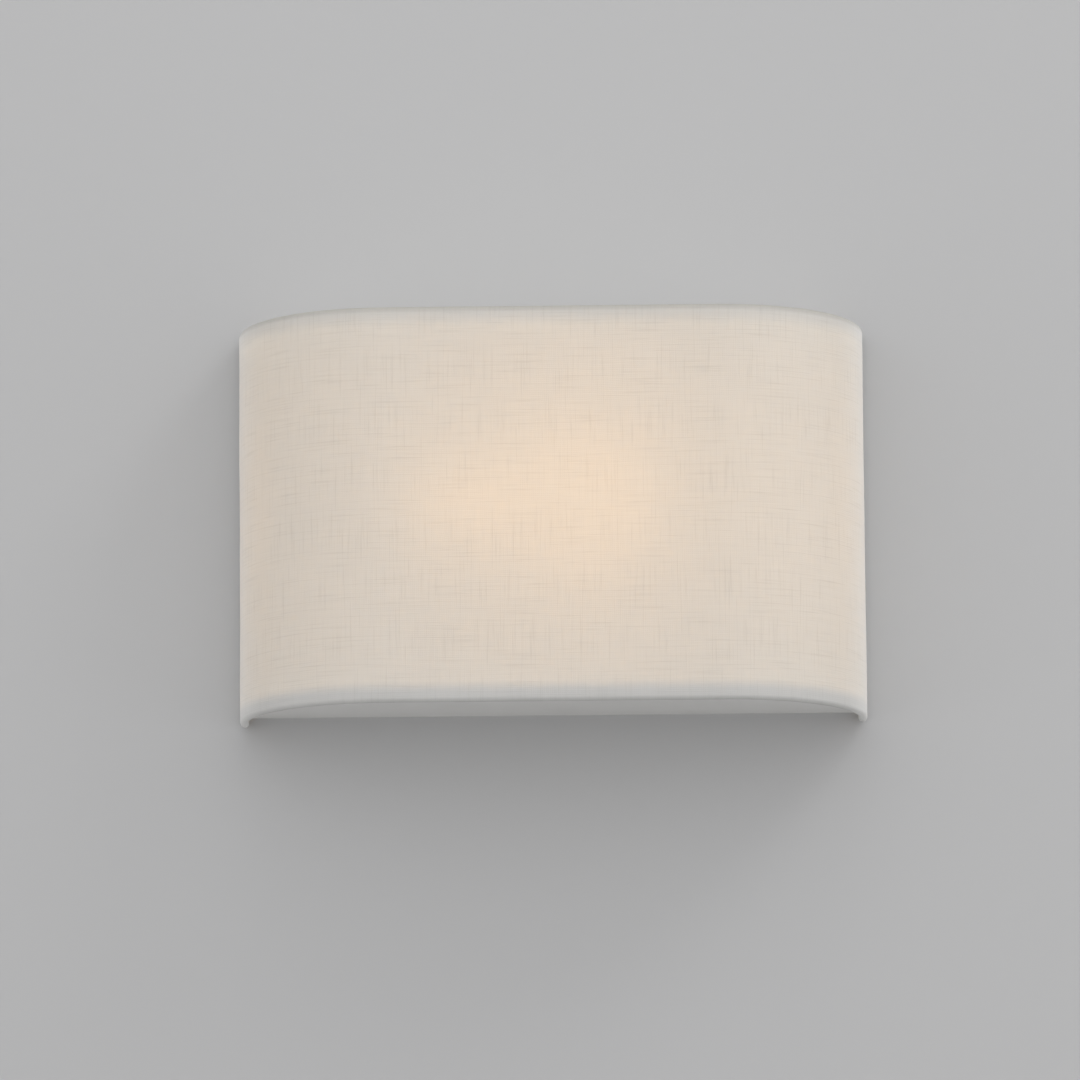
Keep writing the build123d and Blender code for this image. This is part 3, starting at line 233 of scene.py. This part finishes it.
# %% Sizes of the shade, in millimetres
HALF_WIDTH, HALF_HEIGHT = 150.0, 95.0
CORNER, SIDE_RUN = 71.0, 7.0
CLOTH = 0.5
ROLL_R = 2.05  # outside of the cloth, from the middle of the wire
WIRE_X = HALF_WIDTH - ROLL_R
WIRE_REAR = -2.55
RIM_Z = HALF_HEIGHT - ROLL_R
TURN, ANGLE_STEP = 300, 15  # degrees that the cloth turns round a wire
TAB_X, TAB_HALF = 60.0, 7.3
TAB_CUT = 210  # degrees round the front wire where the cloth makes room for a tab
FRONT_STATIONS, CORNER_STEPS, SIDE_STEPS = 80, 56, 3  # points along the front, a corner and a side
FACE_ROWS = 63  # points up the face, from wire to wire
print("the shade is", 2 * HALF_WIDTH, "mm wide and", 2 * HALF_HEIGHT, "mm high")


# %% The outline that the cloth follows
def rear_turn():
    """Stations round the right upright: one middle, and an outward direction that turns rearward and in."""
    turned = []
    for degrees in range(ANGLE_STEP, TURN + 1, ANGLE_STEP):
        a = radians(degrees)
        turned.append((WIRE_X, WIRE_REAR, cos(a), sin(a), ROLL_R * a, degrees))
    return turned


def outline_stations():
    """From rear left to rear right: middle of the wire, outward direction, place along the cloth, turn."""
    straight, front = HALF_WIDTH - CORNER, CORNER - ROLL_R
    corner_length = CORNER * pi / 2
    side_length = SIDE_RUN + WIRE_REAR
    xs = [-straight + 2 * straight * i / (FRONT_STATIONS - 1) for i in range(FRONT_STATIONS)]
    for edge in (-TAB_X - TAB_HALF, -TAB_X + TAB_HALF, TAB_X - TAB_HALF, TAB_X + TAB_HALF):
        nearest = min(range(FRONT_STATIONS), key=lambda i: abs(xs[i] - edge))
        xs[nearest] = edge
    half = [(x, -SIDE_RUN - front, 0.0, -1.0, x, 0) for x in xs]
    for i in range(1, CORNER_STEPS + 1):
        a = pi / 2 * i / CORNER_STEPS
        x, y = straight + front * sin(a), -SIDE_RUN - front * cos(a)
        half.append((x, y, sin(a), -cos(a), straight + CORNER * a, 0))
    for i in range(1, SIDE_STEPS + 1):
        y = -SIDE_RUN + side_length * i / SIDE_STEPS
        half.append((WIRE_X, y, 1.0, 0.0, straight + corner_length + y + SIDE_RUN, 0))
    end = straight + corner_length + side_length
    half += [(x, y, nx, ny, end + run, turn) for x, y, nx, ny, run, turn in rear_turn()]
    mirrored = [(-x, y, -nx, ny, -run, turn) for x, y, nx, ny, run, turn in half if run > straight]
    return mirrored[::-1] + half, end


stations, CLOTH_END = outline_stations()  # CLOTH_END is where the cloth starts to turn round an upright
print("the cloth is cut", round(stations[-1][4] - stations[0][4], 1), "mm wide")


# %% The profile that runs up the cloth
def profile_rows():
    """Height of the wire or the face, angle round the wire, and place up the flat cloth."""
    angles = range(ANGLE_STEP, TURN + 1, ANGLE_STEP)
    low = [(-RIM_Z, -a, -RIM_Z - radians(a) * ROLL_R) for a in reversed(angles)]
    heights = [-RIM_Z + 2 * RIM_Z * i / (FACE_ROWS - 1) for i in range(FACE_ROWS)]
    face = [(z, 0, z) for z in heights]
    return low + face + [(RIM_Z, a, RIM_Z + radians(a) * ROLL_R) for a in angles]


rows = profile_rows()
print("and", round(rows[-1][2] - rows[0][2], 1), "mm high")


# %% Points of the cloth
SWELL, SWELL_WIDTH, SWELL_HEIGHT = 0.20, 55, 40  # mm: broad looseness between the wires
PUCKER, PUCKER_WIDTH, PUCKER_HEIGHT = 0.05, 15, 13  # mm: finer looseness on top of it
EDGE_WAVE, EDGE_WAVE_LENGTH = 0.08, 8  # mm: unevenness where the cloth is turned round a wire
TIGHT_SIDE, TIGHT_RIM = 10, 14  # mm from an upright and from a rim wire in which the cloth gets tight


def cloth_point(station, row, radius, loose_by=1.0):
    """A point of the cloth. The last number of each noise only picks a part of the noise that looks right."""
    x, y, nx, ny, along, turn = station
    z, angle, upward = row
    free = min(1.0, max(0.0, CLOTH_END - abs(along)) / TIGHT_SIDE)
    face = min(1.0, (RIM_Z - abs(z)) / TIGHT_RIM)
    swell = SWELL * noise.noise((along / SWELL_WIDTH, upward / SWELL_HEIGHT, 3.7))
    pucker = PUCKER * noise.noise((along / PUCKER_WIDTH, upward / PUCKER_HEIGHT, 9.1))
    loose = swell + pucker
    uneven = EDGE_WAVE * noise.noise((along / EDGE_WAVE_LENGTH, 5.0 if upward > 0 else 8.0, 1.3))
    grown = radius + loose_by * free * (face * loose + (1 - face) * uneven)
    out, high = cos(radians(angle)) * grown, sin(radians(angle)) * grown
    return Vector((x + nx * out, y + ny * out, z + high)) * MM


def is_cloth(i, j):
    """Whether the cloth has a face between stations i, i + 1 and rows j, j + 1."""
    pair, steps = stations[i : i + 2], rows[j : j + 2]
    turn = max(s[5] for s in pair)
    angle = max(abs(r[1]) for r in steps)
    # Inside the frame the two turned edges would cross, so there the upright's turn stops below the rim wires
    if turn > 180:
        return angle == 0 and max(abs(r[0]) for r in steps) < RIM_Z - ROLL_R
    # Outside it, the rear corner is closed by a quarter of a ball
    if turn > 0:
        return angle <= 90
    at_tab = all(abs(abs(s[0]) - TAB_X) < TAB_HALF + 0.01 and s[3] == -1.0 for s in pair)
    return not (at_tab and angle > TAB_CUT)


print("a loose place stands proud by at most", SWELL + PUCKER, "mm")

# %% [markdown]
# Light has to enter the cloth on one side and leave it on the other, so the sheet gets its real thickness. The
# outer face is made first, with the point behind each of its points kept beside it. The inner face is bonded to
# the film and has no looseness.

# %% Outer face of the cloth
MERGE_WITHIN = 0.00002  # metres. Over a rear corner the points of one row fall together
shell = bmesh.new()
place_layer = shell.verts.layers.float_vector.new("cloth_mm")
inner_layer = shell.verts.layers.float_vector.new("inner")
grid = []
for station in stations:
    column = []
    for row in rows:
        vert = shell.verts.new(cloth_point(station, row, ROLL_R))
        vert[place_layer] = (station[4], row[2], 0)
        vert[inner_layer] = cloth_point(station, row, ROLL_R - CLOTH, loose_by=0.0)
        column.append(vert)
    grid.append(column)
for i in range(len(stations) - 1):
    for j in range(len(rows) - 1):
        if is_cloth(i, j):
            shell.faces.new((grid[i][j], grid[i + 1][j], grid[i + 1][j + 1], grid[i][j + 1]))
bmesh.ops.delete(shell, geom=[v for v in shell.verts if not v.link_faces], context="VERTS")
bmesh.ops.remove_doubles(shell, verts=shell.verts[:], dist=MERGE_WITHIN)
outer_faces = shell.faces[:]
print(len(outer_faces), "faces on the outside")

# %% Close it into a shell
CREASE = radians(50)  # a sharper bend is a cut edge of the cloth
inner_of = {v: shell.verts.new(v[inner_layer]) for v in shell.verts[:]}
for v, twin in inner_of.items():
    twin[place_layer] = v[place_layer]
rim_edges = [e for e in shell.edges if e.is_boundary]
for face in outer_faces:
    shell.faces.new([inner_of[v] for v in reversed(face.verts[:])])
for edge in rim_edges:
    loop = edge.link_loops[0]
    a, b = loop.vert, loop.link_loop_next.vert
    shell.faces.new((b, a, inner_of[a], inner_of[b]))
shell.normal_update()
for face in shell.faces:
    face.smooth = True
for edge in shell.edges:
    if edge.is_manifold and edge.calc_face_angle() > CREASE:
        edge.smooth = False
shell.verts.layers.float_vector.remove(shell.verts.layers.float_vector["inner"])
cover_data = bpy.data.meshes.new("linen_cover")
shell.to_mesh(cover_data)
open_edges = sum(1 for e in shell.edges if not e.is_manifold)
cloth_area = sum(f.calc_area() for f in shell.faces) / 2
shell.free()
print(len(cover_data.polygons), "faces in all,", open_edges, "open edges")

# %% The cover takes the place of the model's plain one
linen_cover = bpy.data.objects.new("linen_cover", cover_data)
scene.collection.objects.link(linen_cover)
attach(linen_cover, "shade")
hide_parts("shade_fabric")

# %% [markdown]
# ## Linen
# Bleached linen is a plain weave of uneven threads. Thicker places in the yarn, called slubs, show as short
# streaks along both thread directions, and more so when a lamp stands behind them. A photographed cloth would be
# quicker but has one scale and shows its repeats, so the threads are made from waves and stretched noise. The
# cloth is a mix of a matt shader, for the light that it sends back, and a translucent one, for the light that it
# lets through. The pattern reads the place in the flat cloth, so it needs no unwrapping.
#
# The cloth's edges are painted darker in three places. Towards both rims the light let through fades: where the
# cloth lies double round the wire with glue between, this is real, and below that it is painted shade. Near the
# wall, where steel stands close behind the cloth, less light is let through, as painted shade. The bend over the
# upper wire is painted darker, as painted shade. The glow stops about 4 mm short of the rims, because the chassis
# closes the shade there.

# %% Sizes of the weave and of its edges, in millimetres
THREAD_PITCH = 0.9  # between threads. Real linen has about 0.7, which is too fine to show
THREAD_DRIFT = 1.4  # how far a thread strays from its line
DRIFTS_PER_MM = 0.12  # a thread strays and comes back in about 8 mm
STREAKS = ((30.0, 0.9, 0.0), (0.9, 26.0, 5.0))  # a slub's size along and up the cloth, its part of the noise
THREAD_LEVELS = (0.35, 0.70)  # of the noise, from a thin thread to a thick one
THREAD_SHARE = 0.5  # of a slub's darkness that an uneven thread has
SLUB_LEVELS = (0.58, 0.72)  # of the noise, from no slub to a full one
CLOUDS_PER_MM = 0.05  # denser and thinner parts of the cloth are about 20 mm across
CLOUD_SHARE = 0.6
THICKNESS = (0.3, 2.6)  # sum of all of these in the thinnest and the thickest places
SLUB_RELIEF = 0.6  # how much a slub stands up, where a crossing of threads is 1
# The glow's fade towards the rims is partly painted shade
LOW_RIM, HIGH_RIM = (-84.5, -91.0), (84.0, 92.5)  # heights where the glow starts to fade and where it is gone
HIGH_RIM_FADE = 0.5  # the upper rim fades half as much
TOP_BEND_SHADE = (91.8, 94.6)  # heights where the painted shade on the upper bend starts and where it is darkest
PAINTED_SHADE_NEAR_WALL = (52.0, 6.0)  # from an upright, where the painted shade starts and where it is strongest
LET_THROUGH, LET_THROUGH_AT_WALL = 0.4, 0.17  # shares of the light
THREAD_RELIEF = 0.00018  # metres that the threads stand up
print("weave drawn at", THREAD_PITCH, "mm")


# %% Linen material
def linen():
    """Plain-woven linen: matt, soft, with slubs along and across, and the lamp glowing through it."""
    material, tree, output = new_material("bleached_linen")
    place = add(tree, "Attribute", {"attribute_name": "cloth_mm"})
    # Threads over and under: two crossed waves that drift a little
    drift = add(tree, "TexNoise", Vector=place.outputs["Vector"], Scale=DRIFTS_PER_MM, Detail=2.0)
    strayed = (THREAD_DRIFT, THREAD_DRIFT, 0)
    shift = add(tree, "VectorMath", {"operation": "MULTIPLY_ADD"}, _0=drift.outputs["Color"], _1=strayed)
    tree.links.new(place.outputs["Vector"], shift.inputs[2])
    phase = add(tree, "VectorMath", {"operation": "SCALE"}, _0=shift.outputs[0], Scale=pi / THREAD_PITCH)
    waves = add(tree, "VectorMath", {"operation": "SINE"}, _0=phase.outputs[0])
    split = add(tree, "SeparateXYZ", Vector=waves.outputs[0])
    crossed = add(tree, "Math", {"operation": "MULTIPLY"}, _0=split.outputs[0], _1=split.outputs[1])
    crowns = add(tree, "Math", {"operation": "ABSOLUTE"}, _0=crossed.outputs[0])
    # Slubs: noise that is stretched along each thread direction, with the thickest places added again
    streaks = []
    for along_mm, up_mm, part in STREAKS:
        stretched = add(tree, "Mapping", Vector=place.outputs["Vector"], Scale=(1 / along_mm, 1 / up_mm, 1))
        stretched.inputs["Location"].default_value = (part, part, part)
        yarn = add(tree, "TexNoise", Vector=stretched.outputs[0], Scale=1.0, Detail=2.0, Roughness=0.5)
        noisy = yarn.outputs["Fac"]
        thread = add(tree, "MapRange", _0=noisy, _1=THREAD_LEVELS[0], _2=THREAD_LEVELS[1], _4=THREAD_SHARE)
        slub = add(tree, "MapRange", _0=noisy, _1=SLUB_LEVELS[0], _2=SLUB_LEVELS[1])
        streaks.append(add(tree, "Math", {"operation": "ADD"}, _0=thread.outputs[0], _1=slub.outputs[0]))
    slubs = add(tree, "Math", {"operation": "ADD"}, _0=streaks[0].outputs[0], _1=streaks[1].outputs[0])
    cloudy = add(tree, "TexNoise", Vector=place.outputs["Vector"], Scale=CLOUDS_PER_MM, Detail=3.0)
    weigh = {"operation": "MULTIPLY_ADD"}
    amount = add(tree, "Math", weigh, _0=cloudy.outputs["Fac"], _1=CLOUD_SHARE, _2=slubs.outputs[0])
    thick = add(tree, "MapRange", _0=amount.outputs[0], _1=THICKNESS[0], _2=THICKNESS[1])
    # Thick places are darker from the front, and let less light through
    front = add(tree, "MixRGB", Fac=thick.outputs[0], Color1=linear("#ecebe8"), Color2=linear("#e2e1dd"))
    cloth_light = add(tree, "MixRGB", Fac=thick.outputs[0], Color1=linear("#f8f0db"), Color2=linear("#e9dfc9"))
    across, upward = add(tree, "SeparateXYZ", Vector=place.outputs["Vector"]).outputs[:2]
    # Towards both rims the light let through is painted darker: where the cloth lies double round the wire this
    # is real, below that it is painted shade
    smooth = {"interpolation_type": "SMOOTHSTEP"}
    low = add(tree, "MapRange", smooth, _0=upward, _1=LOW_RIM[0], _2=LOW_RIM[1])
    high = add(tree, "MapRange", smooth, _0=upward, _1=HIGH_RIM[0], _2=HIGH_RIM[1], _4=HIGH_RIM_FADE)
    hem_and_painted_shade = add(tree, "Math", {"operation": "MAXIMUM"}, _0=low.outputs[0], _1=high.outputs[0])
    through = add(tree, "MixRGB", Fac=hem_and_painted_shade.outputs[0], Color1=cloth_light.outputs[0], Color2=linear("#5c5a56"))
    # Painted shade: the bend over the upper wire is painted darker
    painted_top_shade = add(tree, "MapRange", _0=upward, _1=TOP_BEND_SHADE[0], _2=TOP_BEND_SHADE[1])
    front_with_top_shade = add(tree, "MixRGB", Fac=painted_top_shade.outputs[0], Color1=front.outputs[0], Color2=linear("#bdbbb6"))
    # Near the wall, where steel stands close behind the cloth, less of the lamp's light is let through: painted
    # shade
    outward = add(tree, "Math", {"operation": "ABSOLUTE"}, _0=across)
    starts, most = (CLOTH_END - distance for distance in PAINTED_SHADE_NEAR_WALL)
    let_through = add(tree, "MapRange", smooth, _0=outward.outputs[0], _1=starts, _2=most)
    let_through.inputs["To Min"].default_value = LET_THROUGH
    let_through.inputs["To Max"].default_value = LET_THROUGH_AT_WALL
    height = add(tree, "Math", weigh, _0=slubs.outputs[0], _1=SLUB_RELIEF, _2=crowns.outputs[0])
    relief = add(tree, "Bump", Strength=0.2, Distance=THREAD_RELIEF, Height=height.outputs[0])
    matt = add(tree, "BsdfPrincipled", Base_Color=front_with_top_shade.outputs[0], Roughness=0.92, Normal=relief.outputs[0])
    matt.inputs["Specular IOR Level"].default_value = 0.25
    matt.inputs["Sheen Weight"].default_value = 0.3
    glow = add(tree, "BsdfTranslucent", Color=through.outputs[0], Normal=relief.outputs[0])
    cloth = add(tree, "MixShader", _0=let_through.outputs[0], _1=matt.outputs[0], _2=glow.outputs[0])
    # Light is scattered where it enters the cloth, and leaves its other face unhindered
    inside = add(tree, "BsdfTransparent")
    side = add(tree, "NewGeometry")
    seen = add(tree, "MixShader", _0=side.outputs["Backfacing"], _1=cloth.outputs[0], _2=inside.outputs[0])
    tree.links.new(seen.outputs[0], output.inputs["Surface"])
    return material


cover_data.materials.append(linen())
print("linen nodes", len(cover_data.materials[0].node_tree.nodes))

# %% [markdown]
# ## Steel, plastic and metal
# Everything else keeps the shape that it has in the model and gets a finish. Sheet steel is powder coated: the
# powder melts to a skin with a fine ripple. Small steel parts are zinc plated, which clouds unevenly. Moulded
# plastics have a faint grain from the mould. All of these are one recipe with other numbers, so one function
# makes them. The patterns read each piece's own place in metres, so a pattern's scale is one over its size.

# %% Finishes made from noise
CLOUD_TO_GRAIN = 8  # a cloud of colour is this many grains wide


def uneven(name, dark, light, grain_mm, roughness, ripple_mm, metallic=0.0, coat=0.0):
    """A finish that clouds between two colours, with a ripple in its surface and in its gloss."""
    material, tree, output = new_material(name)
    place = add(tree, "TexCoord").outputs["Object"]
    cloud = add(tree, "TexNoise", Vector=place, Scale=1 / (grain_mm * CLOUD_TO_GRAIN * MM), Detail=4.0)
    grain = add(tree, "TexNoise", Vector=place, Scale=1 / (grain_mm * MM), Detail=3.0)
    spread = add(tree, "MapRange", _0=cloud.outputs["Fac"], _1=0.3, _2=0.7)
    colour = add(tree, "MixRGB", _0=spread.outputs[0], _1=linear(dark), _2=linear(light))
    gloss = add(tree, "MapRange", _0=grain.outputs["Fac"], _3=roughness * 0.8, _4=roughness * 1.2)
    relief = add(tree, "Bump", Strength=0.5, Distance=ripple_mm * MM, Height=grain.outputs["Fac"])
    skin = add(
        tree, "BsdfPrincipled", Base_Color=colour.outputs[0], Roughness=gloss.outputs[0], Normal=relief.outputs[0]
    )
    skin.inputs["Metallic"].default_value = metallic
    skin.inputs["Coat Weight"].default_value = coat
    tree.links.new(skin.outputs[0], output.inputs["Surface"])
    return material


print("a cloud is", CLOUD_TO_GRAIN, "grains wide")

# %% The finishes, each with what it gives the eye
FINISHES = {
    # A white powder skin, softly rippled, neither matt nor glossy
    "white_powder_coat": uneven("polyester_powder_coat", "#dfdedb", "#e1e0dd", 1.2, 0.42, 0.02),
    # The same white, dipped and smoother, on round wire
    "white_coated_wire": uneven("epoxy_coated_wire", "#e4e3e0", "#ecebe8", 0.8, 0.36, 0.01),
    # Bluish bright metal with yellowish clouds, satin
    "zinc_plated_steel": uneven("bright_zinc_plate", "#a9a8a0", "#c4c7ca", 0.35, 0.34, 0.006, metallic=1.0),
    # Warmer and brighter than zinc, nearly a mirror
    "nickel_plated_brass": uneven("nickel_plate", "#bfb9ad", "#d3cec4", 0.25, 0.2, 0.003, metallic=1.0),
    # Yellow metal with browner clouds
    "brass": uneven("turned_brass", "#b8924e", "#d8b56a", 0.4, 0.27, 0.005, metallic=1.0),
    # Soft silvery metal, dull
    "tinned_copper": uneven("tinned_copper", "#b3aea6", "#c9c5be", 0.3, 0.4, 0.006, metallic=1.0),
    # Dull grey, with a slight bloom
    "grey_rubber": uneven("moulded_rubber", "#57585a", "#66686a", 0.5, 0.72, 0.012),
    # Off-white, satin, heat-proof plastic
    "white_thermoplastic": uneven("moulded_polyester", "#dfddd5", "#e8e6df", 0.6, 0.4, 0.008),
    # White and shiny, under a clear gloss
    "white_gloss_plastic": uneven("gloss_polycarbonate", "#e9e9e6", "#efefec", 1.5, 0.2, 0.004, coat=0.3),
    # Nearly black, with the sharp gleam of glass
    "black_glass": uneven("black_glass", "#0b0b0c", "#141416", 0.9, 0.07, 0.002, coat=0.5),
    # Soft plastic skins on the wires, slightly shiny
    "blue_insulation": uneven("blue_silicone_sleeve", "#1c55a0", "#2763ad", 0.7, 0.42, 0.006),
    "brown_insulation": uneven("brown_silicone_sleeve", "#5a3a22", "#684429", 0.7, 0.42, 0.006),
}
print(len(FINISHES), "finishes")

# %% [markdown]
# ## Striped earth wire
# The earth wire's sleeve is moulded in two colours, green along one side and yellow along the other. A stripe
# could be painted along the wire's length, but the model's mesh has no such lines. So the side is told from the
# surface's own direction, because the wire lies nearly flat along the plate.

# %% Green and yellow sleeve
STRIPE_WOBBLE = 9  # mm from one bend of the stripe's edge to the next


def earth_sleeve():
    """A wire's sleeve, yellow along one side and green along the other."""
    material, tree, output = new_material("green_and_yellow_sleeve")
    where = add(tree, "TexCoord")
    facing = add(tree, "SeparateXYZ", Vector=where.outputs["Normal"])
    wobble = add(tree, "TexNoise", Vector=where.outputs["Object"], Scale=1 / (STRIPE_WOBBLE * MM), Detail=1.0)
    edge = add(tree, "MapRange", _0=wobble.outputs["Fac"], _3=-0.25, _4=0.25)
    half = add(tree, "Math", {"operation": "GREATER_THAN"}, _0=facing.outputs[2], _1=edge.outputs[0])
    colour = add(tree, "MixRGB", _0=half.outputs[0], _1=linear("#2f7d33"), _2=linear("#d9c62e"))
    skin = add(tree, "BsdfPrincipled", Base_Color=colour.outputs[0], Roughness=0.42)
    tree.links.new(skin.outputs[0], output.inputs["Surface"])
    return material


FINISHES["green_yellow_insulation"] = earth_sleeve()
print("the earth wire is striped")

# %% [markdown]
# ## Film and terminal block
# Two plastics let light pass. The film that stiffens the linen is thin and clear. Real refraction in a skin this
# thin would only cost time, so it is a see-through shader with a little gloss over it. The terminal block is
# thick and milky, and the brass shows through it, so it is a solid that bends the light.

# %% Clear and milky plastics
FILM_RIPPLE = 14  # mm from one ripple of the film to the next
FILM_GLOSS = 0.08  # share of the light that the film sends back
HAZE = 2.5  # mm across a cloud in the milky plastic


def shade_film():
    """The clear film that the linen is laminated to: a faint gloss, slightly yellow."""
    material, tree, output = new_material("clear_laminating_film")
    place = add(tree, "TexCoord").outputs["Object"]
    ripple = add(tree, "TexNoise", Vector=place, Scale=1 / (FILM_RIPPLE * MM), Detail=2.0)
    relief = add(tree, "Bump", Strength=0.3, Distance=0.05 * MM, Height=ripple.outputs["Fac"])
    tint = add(tree, "MixRGB", _0=ripple.outputs["Fac"], _1=linear("#fcfbf9"), _2=linear("#faf8f3"))
    clear = add(tree, "BsdfTransparent", Color=tint.outputs[0])
    gloss = add(tree, "BsdfPrincipled", Base_Color=linear("#ded9cf"), Roughness=0.3, Normal=relief.outputs[0])
    film = add(tree, "MixShader", _0=FILM_GLOSS, _1=clear.outputs[0], _2=gloss.outputs[0])
    tree.links.new(film.outputs[0], output.inputs["Surface"])
    return material


def milky_block():
    """The terminal block's unfilled plastic: milky, lets the brass tubes show through."""
    material, tree, output = new_material("natural_polyamide")
    place = add(tree, "TexCoord").outputs["Object"]
    haze = add(tree, "TexNoise", Vector=place, Scale=1 / (HAZE * MM), Detail=3.0)
    colour = add(tree, "MixRGB", _0=haze.outputs["Fac"], _1=linear("#d9d5c4"), _2=linear("#efece0"))
    gloss = add(tree, "MapRange", _0=haze.outputs["Fac"], _3=0.28, _4=0.44)
    body = add(tree, "BsdfPrincipled", Base_Color=colour.outputs[0], Roughness=gloss.outputs[0], IOR=1.53)
    body.inputs["Transmission Weight"].default_value = 0.55
    tree.links.new(body.outputs[0], output.inputs["Surface"])
    return material


FINISHES["shade_film"] = shade_film()
FINISHES["clear_polyamide"] = milky_block()
print("film and block are clear and milky")

# %% [markdown]
# ## The lamp
# The lamp is on in the photograph. A warm white LED lamp glows evenly all over its opal globe. A lamp of
# Blender's own inside a milky shell would be truer and much noisier, so the globe itself is the light. It is a
# little weaker near its neck, where the housing shades it.

# %% Opal globe
WARM_WHITE = "#ffc55f"  # light of about 2700 K beside the room's daylight
GLOW = 1.6  # of the globe, where 1 is white under the room's light
NECK_START, NECK_END = 0.0, 0.016  # metres to the right of the shade's middle
NECK_GLOW = 0.6  # share of the glow that the neck has
MILK = 6  # mm across a cloud in the globe


def opal_globe():
    """Opal polycarbonate with the lamp on: an even warm glow under a satin skin."""
    material, tree, output = new_material("lit_opal_polycarbonate")
    place = add(tree, "TexCoord").outputs["Object"]
    along = add(tree, "SeparateXYZ", Vector=place)
    neck = add(tree, "MapRange", _0=along.outputs[0], _1=NECK_START, _2=NECK_END, _3=NECK_GLOW, _4=1.0)
    milk = add(tree, "TexNoise", Vector=place, Scale=1 / (MILK * MM), Detail=2.0)
    even = add(tree, "MapRange", _0=milk.outputs["Fac"], _3=0.97, _4=1.03)
    level = add(tree, "Math", {"operation": "MULTIPLY"}, _0=neck.outputs[0], _1=even.outputs[0])
    power = add(tree, "Math", {"operation": "MULTIPLY"}, _0=level.outputs[0], _1=GLOW)
    skin = add(tree, "BsdfPrincipled", Base_Color=linear("#f2efe8"), Roughness=0.35)
    skin.inputs["Emission Color"].default_value = linear(WARM_WHITE)
    tree.links.new(power.outputs[0], skin.inputs["Emission Strength"])
    tree.links.new(skin.outputs[0], output.inputs["Surface"])
    return material


FINISHES["opal_polycarbonate"] = opal_globe()
print("globe glows at", GLOW)

# %% [markdown]
# ## Light thrown back inside the shade
# The white steel behind the lamp throws much of its light back on the cloth, so that the shade glows evenly and
# not only in front of the globe. Traced light loses part of that after a few bounces. One wide soft lamp that
# can't be seen gives it back. It stands between the globe and the cloth and faces the steel, which spreads its
# light. It is wider than high, as the lit steel is.

# %% Light thrown back
THROWN_BACK_PLACE = (-0.008, -0.0560, 0.0)
THROWN_BACK_WIDTH, THROWN_BACK_HEIGHT = 0.20, 0.09
THROWN_BACK_POWER = 0.105  # watts
thrown_data = bpy.data.lights.new("thrown_back", "AREA")
thrown_data.shape = "ELLIPSE"
thrown_data.size, thrown_data.size_y = THROWN_BACK_WIDTH, THROWN_BACK_HEIGHT
thrown_data.energy = THROWN_BACK_POWER
thrown_data.color = linear(WARM_WHITE)[:3]
thrown_back = bpy.data.objects.new("thrown_back", thrown_data)
thrown_back.location = THROWN_BACK_PLACE
thrown_back.rotation_euler = (radians(90), 0, 0)
thrown_back.visible_camera = False
scene.collection.objects.link(thrown_back)
print("light thrown back", THROWN_BACK_POWER, "W")

# %% [markdown]
# ## Give every piece its finish
# The model's record says which finish each piece has, so pieces of one metal or plastic can't drift apart. The
# linen cover was given its own above.

# %% Finishes onto pieces
dressed = 0
for part in frame["record"]["subparts"]:
    finish = FINISHES.get(part["material_slot"])
    if finish:
        piece = frame["nodes"][part["node"]]
        for slot in piece.material_slots:
            slot.material = finish
        dressed += 1
print(dressed, "pieces dressed")
